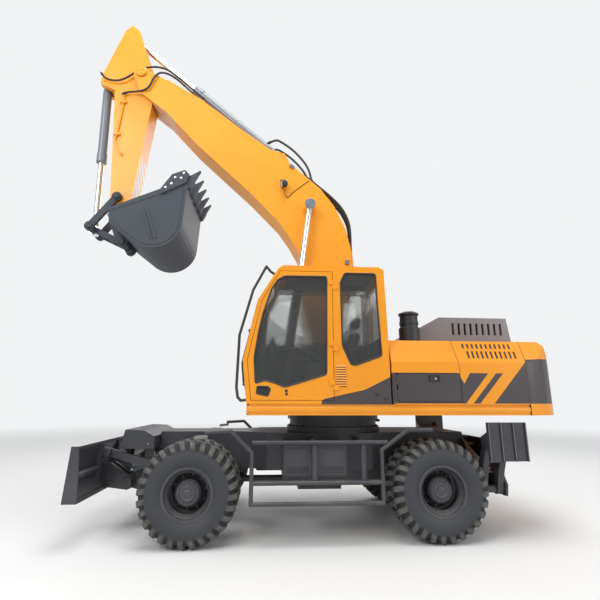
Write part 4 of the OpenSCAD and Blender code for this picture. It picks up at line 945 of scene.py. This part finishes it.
seal("door_window_seal", DOOR_WINDOW, CAB_SIDE + 0.002, "cab_door")
seal("quarter_window_seal", QUARTER_WINDOW, CAB_SIDE + 0.002, "cab_door", 0.008)
seal("rear_side_window_seal", REAR_SIDE_WINDOW, CAB_SIDE + 0.002, "upper")
seal("far_window_seal", FAR_WINDOW, FAR_SIDE - 0.002, "upper")
SCREEN_LINE = [(-0.817, 1.645), (-0.853, 1.979), (-0.776, 2.34), (-0.699, 2.693), (-0.5, 3.024)]
left, right = ([(x + MIDDLE_X + 0.002, CAB_MIDDLE + s * SCREEN_W / 2, z) for x, z in SCREEN_LINE] for s in (-1, 1))
add_piece("windscreen_seal", "upper", "black_trim", closed_tube(loop_line(left + right[::-1]), 0.011), sharp=70)
back = [at(0.861, CAB_MIDDLE + s * 0.33, z) for s, z in rectangle(-1, 1, 2.28, 2.98)]
add_piece("rear_window_seal", "upper", "black_trim", closed_tube(loop_line(back), 0.01), sharp=70)
print("window seals: 6")

# %% [markdown]
# ## Wiper
# One arm wipes the upper pane. It is a tapered rod that leans on the glass, a bridge at its middle and a thin
# rubber blade; each is a tube along a path that keeps a few millimetres off the pane.

# %% Wiper
WIPER_Y = CAB_MIDDLE - 0.08


def on_screen(z, off):
    """A point on the windscreen's outer face at height z, moved out by off: found on the screen's own side line."""
    line = np.array(SCREEN_LINE)
    return (np.interp(z, line[:, 1], line[:, 0]) - off + MIDDLE_X, z)


heights = np.linspace(1.72, 2.42, 12)
arm = np.array([(on_screen(z, 0.035)[0], WIPER_Y + 0.1 * (z - 1.72), z) for z in heights])
blade_z = np.linspace(2.05, 2.62, 12)
blade_line = np.array([(on_screen(z, 0.016)[0], WIPER_Y + 0.035, z) for z in blade_z])
add_piece(
    "wiper", "upper", "black_trim", tube_grid(arm, np.linspace(0.01, 0.006, 12), 8), tube_grid(blade_line, 0.006, 6),
    spin_grid(mm((0, 30), (22, 28), (26, 0), (26, -30)), (on_screen(1.72, 0.015)[0], WIPER_Y, 1.72), (-1, 0, 0.1), 16),
    block_grid((on_screen(2.34, 0.026)[0], WIPER_Y + 0.047, 2.34), (0.02, 0.03, 0.12), -12), sharp=45)
print("wiper sweeps", round(float(blade_z[-1] - blade_z[0]), 2), "m of glass")

# %% [markdown]
# ## Latches, locks and handles
# The service doors open with a paddle in a shallow recess, with a key lock beside it. The cab door has a pull
# handle with a lock under it, and two rubber buffers hold it when it is folded back.

# %% Latches and handles
LOCK = mm((0, 8), (4.5, 7.5), (5, 10), (13, 10), (16, 6), (16, -4))
BUFFER = mm((0, 14), (16, 13), (21, 10), (21, 4), (27, 3), (28, -4))
for side, s in SIDES:
    face = s * (HALF_W - 0.008)
    frame_line = loop_line(at_side(rectangle(1.314, 1.446, 1.739, 1.817), face), 0.2, 0.01)
    parts = [
        closed_tube(frame_line, 0.004), block_grid(at(1.352, face - s * 0.006, 1.778), (0.052, 0.012, 0.06)),
        block_grid(at(1.43, face - s * 0.01, 1.778), (0.018, 0.01, 0.062))]
    add_piece("service_latch_" + side, "service_door_" + side, "black_trim", *parts, bevel=0.002)
    add_piece(
        "service_lock_" + side, "service_door_" + side, "rod_chrome",
        spin_grid(LOCK, at(1.4, face - s * 0.01, 1.778), (0, s, 0), 20))
add_piece(
    "cab_door_lock", "cab_door", "black_trim", spin_grid(LOCK, at(-0.35, CAB_SIDE, 1.632), (0, -1, 0), 20),
    spin_grid(LOCK, at(-0.348, CAB_SIDE, 1.596), (0, -1, 0), 12))
add_piece(
    "door_buffers", "upper", "black_trim",
    spin_grid(BUFFER, [at(0.706, CAB_SIDE, 1.597), at(0.799, CAB_SIDE, 1.551)], (0, -1, 0), 20))
inner = at_side([(0.02, 1.93), (-0.02, 2.02), (-0.1, 2.1), (-0.24, 2.13), (-0.4, 2.1)], CAB_SIDE + 0.075)
add_piece("door_inner_rail", "cab_door", "black_trim", tube_grid(smooth_path(inner), 0.012, 10))
print("latches: 2, door lock, buffers: 2, inner rail")

# %% [markdown]
# ## Driver's seat
# A real cushion is foam in a sewn cover: crowned in the middle, its sides pulled in between the corners. So a
# slightly smaller block is turned into cloth, blown up gently without gravity, and frozen. The cap on how
# far a point may move keeps it inside the place that the seat's solid holds.

# %% Seat cushions
DECK_TOP, CAB_FLOOR = 1.484, 0.0456
FLOOR_Z = DECK_TOP + CAB_FLOOR
SEAT_X = 0.25


def pad_block(low, high, pull=0.03, sides=(9, 9, 5)):
    """A block of grids whose side walls curve in: x and y shrink by pull times (1 - position squared)."""
    low, high = np.asarray(low, float), np.asarray(high, float)
    parts = []
    for axis in range(3):
        a, b = [i for i in range(3) if i != axis]
        u, v = np.meshgrid(np.linspace(-1, 1, sides[a] * 2 + 1), np.linspace(-1, 1, sides[b] * 2 + 1), indexing="ij")
        for s in (-1.0, 1.0):
            p = np.zeros(u.shape + (3,))
            p[..., a], p[..., b], p[..., axis] = u, v, s
            parts.append((p.reshape(-1, 3), grid_faces(*u.shape)))
    points, faces = joined(parts)
    shape = points.copy()
    for a, b in ((0, 1), (1, 0)):
        shape[:, a] *= 1 - pull * (1 - points[:, b] ** 2)
    shape[:, 2] *= 1 - 0.25 * np.maximum(np.abs(points[:, 0]), np.abs(points[:, 1])) ** 6
    return (low + high) / 2 + shape * (high - low) / 2, faces


def inflate(obj, voxel=0.006, pressure=4.0, cap=0.012):
    """Voxel remesh, 20 frames of cloth with pressure and no gravity, movement cut to cap, then one subdivision."""
    scene = bpy.context.scene
    bpy.context.view_layer.objects.active = obj
    m = obj.modifiers.new("skin", "REMESH")
    m.mode, m.voxel_size = "VOXEL", voxel
    mesh = bpy.data.meshes.new_from_object(obj.evaluated_get(bpy.context.evaluated_depsgraph_get()))
    obj.modifiers.clear()
    obj.data = mesh
    before = np.empty(len(mesh.vertices) * 3)
    mesh.vertices.foreach_get("co", before)
    cloth = obj.modifiers.new("cloth", "CLOTH")
    cloth.settings.use_pressure, cloth.settings.uniform_pressure_force = True, pressure
    cloth.settings.effector_weights.gravity = 0
    cloth.settings.mass, cloth.settings.tension_stiffness, cloth.settings.quality = 0.3, 15, 5
    cloth.point_cache.frame_start, cloth.point_cache.frame_end = 1, 20
    for frame_number in range(1, 21):
        scene.frame_set(frame_number)
    blown = bpy.data.meshes.new_from_object(obj.evaluated_get(bpy.context.evaluated_depsgraph_get()))
    after = np.empty(len(blown.vertices) * 3)
    blown.vertices.foreach_get("co", after)
    obj.modifiers.clear()
    scene.frame_set(1)
    move = (after - before).reshape(-1, 3)
    far = np.linalg.norm(move, axis=1, keepdims=True)
    move *= np.minimum(1.0, cap / np.maximum(far, 1e-9))
    mesh.vertices.foreach_set("co", before + move.reshape(-1))
    print(obj.name, "moved by", round(float(np.minimum(far, cap).mean()) * 1000, 1), "mm on average")
    mesh.update()
    obj.modifiers.new("smooth", "SUBSURF").levels = 1
    obj.modifiers["smooth"].render_levels = 1


def lean_back(points, degrees):
    """Turns the seat's points about its hinge line, so that the top goes back, and moves them into the cab."""
    px, pz = SEAT_X + 0.13, FLOOR_Z + 0.425
    x, z = turned((points[:, 0] - px, points[:, 2] - pz), degrees)
    return np.stack([px + x, points[:, 1], pz + z], axis=1) + [MIDDLE_X, CAB_MIDDLE, 0]


CUSHIONS = {
    "seat_base_cushion": ((SEAT_X - 0.248, -0.203, FLOOR_Z + 0.312), (SEAT_X + 0.17, 0.203, FLOOR_Z + 0.418), 0.0),
    "seat_back_cushion": ((SEAT_X + 0.142, -0.192, FLOOR_Z + 0.437), (SEAT_X + 0.238, 0.192, FLOOR_Z + 0.87), 12.0),
    "seat_head_cushion": ((SEAT_X + 0.15, -0.125, FLOOR_Z + 0.905), (SEAT_X + 0.228, 0.125, FLOOR_Z + 1.05), 12.0),
}
for name, (low, high, lean) in CUSHIONS.items():
    points, faces = pad_block(low, high)
    block = lean_back(points, lean), faces
    cushion = add_piece(name, "upper", "seat_fabric", block, replaces=["seat_cushions"], sharp=180)
    inflate(cushion)
print("cushions:", len(CUSHIONS))

# %% [markdown]
# ## Seat piping and the cab's controls
# A welt of piping covers each cushion's seam. Rubber bellows seal the foot of every lever: a spun profile whose
# radius swings between two cones. A screen on a stalk and four pedals complete what shows through the glass.

# %% Seat piping and controls
def welt(name):
    """A cord along the seam of one cushion: the block's middle outline, turned as the cushion is."""
    (x0, y0, z0), (x1, y1, z1), lean = CUSHIONS[name]
    if lean:
        loop = [(x0 - 0.004, y, z) for y, z in rectangle(y0 + 0.014, y1 - 0.014, z0 + 0.012, z1 - 0.014)]
    else:
        loop = [(x, y, z1 - 0.004) for y, x in rectangle(y0 + 0.012, y1 - 0.012, x0 + 0.012, x1 - 0.012)]
    line = lean_back(loop_line(loop, 0.2, 0.05), lean)
    return closed_tube(line, 0.005, 6)


add_piece("seat_piping", "upper", "black_trim", *[welt(name) for name in CUSHIONS], sharp=80)
folds = np.linspace(0, 1, 25)
BELLOWS = np.stack([0.062 - 0.034 * folds + 0.007 * np.cos(folds * 10 * np.pi), 0.085 * folds], axis=1)
KNOB = mm((15, 110), (23, 150), (28, 200), (29, 235), (22, 262), (0, 268))
levers = [at(SEAT_X - 0.23, CAB_MIDDLE + s * 0.29, FLOOR_Z + 0.432) for s in (-1, 1)]
add_piece(
    "lever_bellows", "upper", "black_trim", spin_grid(BELLOWS, levers, (0, 0, 1), 24),
    spin_grid(KNOB, levers, (0, 0, 1), 20), sharp=80)
stalk = [at(x, CAB_MIDDLE + y, FLOOR_Z + z) for x, y, z in ((-0.6, 0.36, 0.5), (-0.58, 0.35, 0.66), (-0.52, 0.33, 0.7))]
add_piece(
    "monitor", "upper", "black_trim",
    block_grid(at(-0.5, CAB_MIDDLE + 0.325, FLOOR_Z + 0.74), (0.045, 0.19, 0.14), -14),
    tube_grid(smooth_path(stalk, 2), 0.012, 8), bevel=0.008)
pedals = [
    block_grid(at(-0.6, CAB_MIDDLE + y, FLOOR_Z + 0.1), (0.012, 0.085, 0.15), 35) for y in (-0.17, -0.05, 0.09, 0.2)]
add_piece("pedals", "upper", "black_trim", *pedals, bevel=0.003)
print("controls: 2 bellows, monitor, 4 pedals")

# %% [markdown]
# ## Slewing ring, shafts and hoses under the machine
# What turns and what steers is bolted and piped: a ring of bolt heads holds the slewing bearing, cross joints
# link the shafts, and hoses run along the axles to the brakes.

# %% Running gear details
ring = ring_points(at(0.35, 0.0, 1.1905), 0.606, 36, axis=2)
BIG_BOLT = mm((0, 16), (12, 16), (15.5, 12), (15.5, 0))
add_piece("slewing_bolts", "chassis", "black_trim", spin_grid(BIG_BOLT, ring, (0, 0, 1), 6))
YOKE = mm((0, -60), (52, -58), (56, -30), (44, -26), (44, 26), (56, 30), (52, 58), (0, 60))
cross_joints = [at(x, 0.0, 0.5) for x in (-1.15, -0.215, 0.49, 1.15)]
add_piece("shaft_joints", "chassis", "chassis_grey", spin_grid(YOKE, cross_joints, (1, 0, 0), 20), sharp=40)
parts = []
BRAKE_LINE = [(0.075, 0.1, 0.7), (0.1, 0.18, 0.69), (0.105, 0.3, 0.655), (0.104, 0.44, 0.61), (0.098, 0.5, 0.58)]
for axle_x in (-1.4, 1.4):
    for s in (-1, 1):
        line = [at(axle_x + x, y * s, z) for x, y, z in BRAKE_LINE]
        parts.append(tube_grid(smooth_path(line), 0.009, 8))
add_piece("brake_lines", "chassis", "black_trim", *parts)
print("slewing bolts: 36, shaft joints: 4, brake lines: 4")

# %% [markdown]
# ## Cab lining
# Pressed panels of dark foam-backed plastic cover the steel inside the cab; their near-black colour is also
# painted shade, for the dark inside of the cab. Without them the glass would show bright paint. Each is a thin
# plate a few millimetres off the wall; the tall one under the far window is why the lower half of the cab looks
# dark from outside.

# %% Cab lining
CAB_WALL = 0.047
FAR_Y, NEAR_Y = FAR_SIDE - CAB_WALL, CAB_SIDE + CAB_WALL


def lining(outline, y, thick=0.008):
    """A thin plate in the side view, on the cab's side of a wall."""
    return plate_grid([(x + MIDDLE_X, z) for x, z in outline], y, y + thick)


far = [
    [(-0.752, 1.535), (-0.804, 1.979), (-0.744, 2.27), (0.8, 2.27), (0.806, 1.535)],
    [(-0.47, 2.985), (-0.425, 3.05), (-0.39, 3.08), (0.775, 3.08), (0.79, 2.985)],
    [(-0.744, 2.275), (-0.66, 2.69), (-0.475, 2.98), (-0.445, 2.98), (-0.592, 2.68), (-0.625, 2.275)],
    [(0.757, 2.275), (0.745, 2.98), (0.785, 2.98), (0.798, 2.275)],
]
near = [
    [(0.212, 1.535), (0.212, 1.9), (0.4, 1.925), (0.46, 1.913), (0.79, 2.03), (0.8, 1.535)],
    [(0.212, 3.055), (0.212, 3.08), (0.775, 3.08), (0.78, 3.055)],
]
plates = [lining(o, FAR_Y - 0.008) for o in far] + [lining(o, NEAR_Y) for o in near]
plates += [block_grid(at(0.803, CAB_MIDDLE, z), (0.005, 0.74, h)) for z, h in ((1.905, 0.74), (3.03, 0.09))]
plates += [
    block_grid(at(0.2, CAB_MIDDLE, 3.076), (1.12, 0.74, 0.008)),
    block_grid(at(-0.742, CAB_MIDDLE, 1.585), (0.008, 0.69, 0.096))]
# Partly painted shade: the near-black lining darkens the cab's inside as seen through the glass.
add_piece("cab_lining", "upper", "cab_inside", *plates, bevel=0.002)
DOOR_LINING = [
    (-0.515, 1.548), (-0.515, 1.712), (-0.495, 1.71), (-0.367, 1.66), (0.114, 1.806), (0.18, 1.828), (0.18, 1.548)]
# Partly painted shade: the door's lining is near-black as well.
add_piece("cab_door_lining", "cab_door", "cab_inside", lining(DOOR_LINING, NEAR_Y), bevel=0.002)
print("lining plates:", len(plates) + 1)

# %% [markdown]
# ## Louvres, ridges and edges
# Slots pressed into sheet leave small eyebrows. Each louvre is a wedge: flush at its upper edge, a few
# millimetres proud at its lower one, with a black strip under it that is painted shade in its slot. Rolled ridges
# stiffen the store doors, and worn edges shine on the outriggers' ribs.

# %% Louvres and ridges
def wedge(x0, x1, z, y, high=0.016, proud=0.007):
    """A louvre from x0 to x1 with its middle at z on the face y: three edges, the lower one stands out."""
    s = math.copysign(1.0, y)
    ring = np.array([(y - s * 0.001, z + high / 2), (y + s * proud, z - high / 4), (y - s * 0.001, z - high / 2)])
    points = np.array([[x, yy, zz] for x in (x0 + MIDDLE_X, x1 + MIDDLE_X) for yy, zz in ring])
    return points, [(0, 1, 2), (5, 4, 3), (0, 3, 4, 1), (1, 4, 5, 2), (2, 5, 3, 0)]


LOUVRES = np.linspace(1.69, 1.91, 9)
add_piece(
    "pillar_panel", "upper", "body_yellow", block_grid(at(0.28, CAB_SIDE - 0.001, 1.8), (0.148, 0.004, 0.262)),
    bevel=0.001)
add_piece(
    "pillar_louvres", "upper", "body_yellow", *[wedge(0.217, 0.342, z + 0.004, CAB_SIDE - 0.003) for z in LOUVRES],
    sharp=20)
# Painted shade: a black strip under each louvre stands for the shade inside its slot.
add_piece(
    "pillar_slot_shade", "upper", "black_trim",
    *[block_grid(at(0.2795, CAB_SIDE - 0.003, z - 0.007), (0.125, 0.003, 0.007)) for z in LOUVRES])
STORE_Y, RIDGE = 1.122, [(0.0, -0.004), (0.012, 0.003), (0.238, 0.003), (0.25, -0.004)]
for side, s in SIDES:
    ridges = []
    for x in (-0.34, 0.06):
        for z in (0.748, 0.772, 0.796, 1.005):
            line = [at(x + u, s * (STORE_Y + v), z) for u, v in RIDGE]
            ridges.append(tube_grid(line, 0.0055, 8))
    for low, high in ((-0.366, -0.018), (-0.01, 0.338)):
        line = loop_line(at_side(rectangle(low, high, 0.712, 1.03), s * STORE_Y), 0.1, 0.012)
        ridges.append(closed_tube(line, 0.0045, 6))
    ridges.append(block_grid(at(-0.014, s * (STORE_Y + 0.004), 1.012), (0.03, 0.014, 0.02)))
    add_piece("store_doors_" + side, "chassis", "chassis_grey", *ridges, sharp=60)
for side, s in SIDES:
    low, high = (np.array(v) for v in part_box("pad_" + side))
    width = high[0] - low[0]
    ends = low[2] + 0.004, high[2] - 0.004
    places = [low[0] + 0.015 + i * (width - 0.03) / 3 for i in range(4)]
    edges = [tube_grid([(x, s * 1.2455, z) for z in ends], 0.0042, 8) for x in places]
    add_piece("pad_edges_" + side, "pad_" + side, "hood_silver", *edges, slot="chassis_grey")
    # Painted shade: a flat black disc at the bottom of the pad's hole.
    add_piece(
        "pad_hole_shade_" + side, "pad_" + side, "black_trim",
        spin_grid(
            mm((0, 3), (15, 3), (18, 0), (18, -3)), (low[0] + width * 0.5, s * 1.2285, (low[2] + high[2]) / 2),
            (0, s, 0), 20))
print("louvres:", len(LOUVRES))

# %% [markdown]
# ## Bucket bolts and weld beads
# The side cutters are bolted on, and the bucket's flank is a plate welded inside a thicker rim. A weld bead is
# a thin round cord laid along the joint, so it is a tube along the outline moved inwards.

# %% Bucket details
BUCKET_SIDE = 0.6
CUTTER_BOLTS = [(-1.19, 0.01), (-1.12, 0.06), (-1.05, 0.01), (-0.96, 0.07), (-0.86, 0.08)]
a = np.radians(np.linspace(24.1, 144.8, 22))
BEAD = [(0.005, -0.01), (0.03, 0.13)] + list(zip(-0.48 + 0.365 * np.cos(a), 0.42 + 0.365 * np.sin(a))) + [
    (-1.085, 0.2), (-1.06, 0.15), (-0.76, 0.118), (-0.1, 0.01)]
beads, heads = [], []
for s in (-1, 1):
    y = ARM_Y + s * BUCKET_SIDE
    path = np.array([on_bucket(*p) for p in loop_line(BEAD, 0.2, 0.02)])
    beads.append(closed_tube(np.stack([path[:, 0], np.full(len(path), y + s * 0.001), path[:, 1]], axis=1), 0.006, 8))
    places = np.array([on_bucket(*p) for p in CUTTER_BOLTS])
    centres = np.stack([places[:, 0], np.full(len(places), y + s * 0.028), places[:, 1]], axis=1)
    heads.append(spin_grid(mm((0, 16), (13, 15), (19, 10), (20, 0), (20, -20)), centres, (0, s, 0), 16))
add_piece("bucket_beads", "bucket", "tool_grey", *beads, sharp=80)
add_piece("bucket_bolts", "bucket", "rod_chrome", *heads, sharp=50)
print("bucket bolts:", 2 * len(CUTTER_BOLTS))

# %% [markdown]
# ## Blade pins and ribs
# The blade hangs on four links. Their pins have flat round heads, and pressed ribs stiffen the blade's back.

# %% Blade pins
UP, LOW = (-2.0, 0.775), (-1.78, 0.39)
ARM_LENGTH, ARM_LEAN = 0.519, math.radians(15.6)
reach = (-ARM_LENGTH * math.cos(ARM_LEAN), ARM_LENGTH * math.sin(ARM_LEAN))
HEAD = mm((0, 14), (40, 14), (58, 9), (62, 0), (62, -10))
for name, (x, z), y in (("blade_up_pins", UP, 0.632), ("blade_low_pins", LOW, 0.418)):
    parts = []
    for s in (-1, 1):
        centre = np.array(at(x + reach[0], s * y, z + reach[1]))
        bolts = ring_points(centre + [0, s * 0.013, 0], 0.024, 2, phase=0.7)
        parts += [spin_grid(HEAD, centre, (0, s, 0), 28), spin_grid(BOLT, bolts, (0, s, 0), 6)]
    add_piece(name, "blade", "chassis_grey", *parts)
print("blade pins: 4")

# %% Blade back
def arc_line(radius, low, high, count=14):
    """Points of the moldboard's own arc, whose centre is behind the blade, at a radius."""
    a = np.radians(np.linspace(low, high, count))
    return np.stack([-2.1 + MIDDLE_X + radius * np.cos(a), 0.8 + radius * np.sin(a)], axis=1)


sheet = plate_grid(np.concatenate([arc_line(0.519, 186, 213), arc_line(0.505, 186, 213)[::-1]]), -1.228, 1.228)
ribs = []
for s in (-1, 1):
    ribs += [
        block_grid(at(-2.572, s * 0.942, 0.738), (0.045, 0.566, 0.05), 25),
        block_grid(at(-2.565, s * 0.652, 0.75), (0.062, 0.016, 0.5))]
add_piece("blade_back", "blade", "chassis_grey", sheet, *ribs, sharp=30)

# %% [markdown]
# ## Small fittings
# Dark slabs behind the hood's slots are painted shade, so that the slots show dark; a domed cap closes the
# pre-cleaner, and a bracket holds the step rail's end. Each slab lies parallel to the sloped wall, 5 mm under its face.

# %% Small fittings
HOOD_Y, HOOD_Z, HOOD_SLOPE = -1.242, 1.97, 0.452
INNER = np.array([0.911, -0.412])


def slot_shade_slab(s, x0, x1, z0, z1, deep=0.005, thick=0.004):
    """A thin slab parallel to the hood's sloped side y = HOOD_Y + HOOD_SLOPE (z - HOOD_Z), deep behind its face."""
    edge = np.array([[HOOD_Y + HOOD_SLOPE * (z - HOOD_Z), z] for z in (z0, z1)])
    ring = np.concatenate([edge + deep * INNER, edge[::-1] + (deep + thick) * INNER])
    points = np.array([[x + MIDDLE_X, -s * y, z] for x in (x0, x1) for y, z in ring])
    return points, [(0, 1, 2, 3), (7, 6, 5, 4), (0, 4, 5, 1), (1, 5, 6, 2), (2, 6, 7, 3), (3, 7, 4, 0)]


SLOT_ROWS, SLOT_PITCH, SLOT_HALF = [(1.836, 2.024, 2.1), (1.8, 2.147, 2.226)], 0.058, 0.0125
slabs = [
    slot_shade_slab(s, x + SLOT_PITCH * i - SLOT_HALF, x + SLOT_PITCH * i + SLOT_HALF, z0, z1) for s in (-1, 1)
    for x, z0, z1 in SLOT_ROWS for i in range(11)]
# Painted shade: black slabs behind the hood's slots make them show dark.
add_piece("vent_slot_shade", "upper", "black_trim", *slabs)
CAP_PLACE, BAND_PLACE = (at(1.266, -0.79, 2.24 + up) for up in (0.4173, 0.27))
add_piece(
    "pre_cleaner_cap", "upper", "hood_silver",
    spin_grid(mm((0, 14), (45, 12.5), (80, 6), (94, 0), (94, -12)), CAP_PLACE, (0, 0, 1), 40), slot="black_trim",
    sharp=60)
band = mm((118.5, -20), (122.5, -18), (122.5, 18), (118.5, 20), (110, 20), (110, -20))
add_piece("pre_cleaner_band", "upper", "black_trim", spin_grid(band + band[:1], BAND_PLACE, (0, 0, 1), 40), sharp=40)
brackets = [block_grid(at(-1.285, s * 1.2, 1.128), (0.15, 0.04, 0.036), -6) for s in (-1, 1)]
add_piece("rail_brackets", "chassis", "hood_silver", *brackets, slot="chassis_grey", bevel=0.006)
add_piece(
    "cover_bolts", "chassis", "hood_silver",
    *[spin_grid(BIG_BOLT, at(-2.005, s * 0.6195, 1.004), (0, s, 0), 6) for s in (-1, 1)], slot="chassis_grey")
print("fittings: 5 pieces")
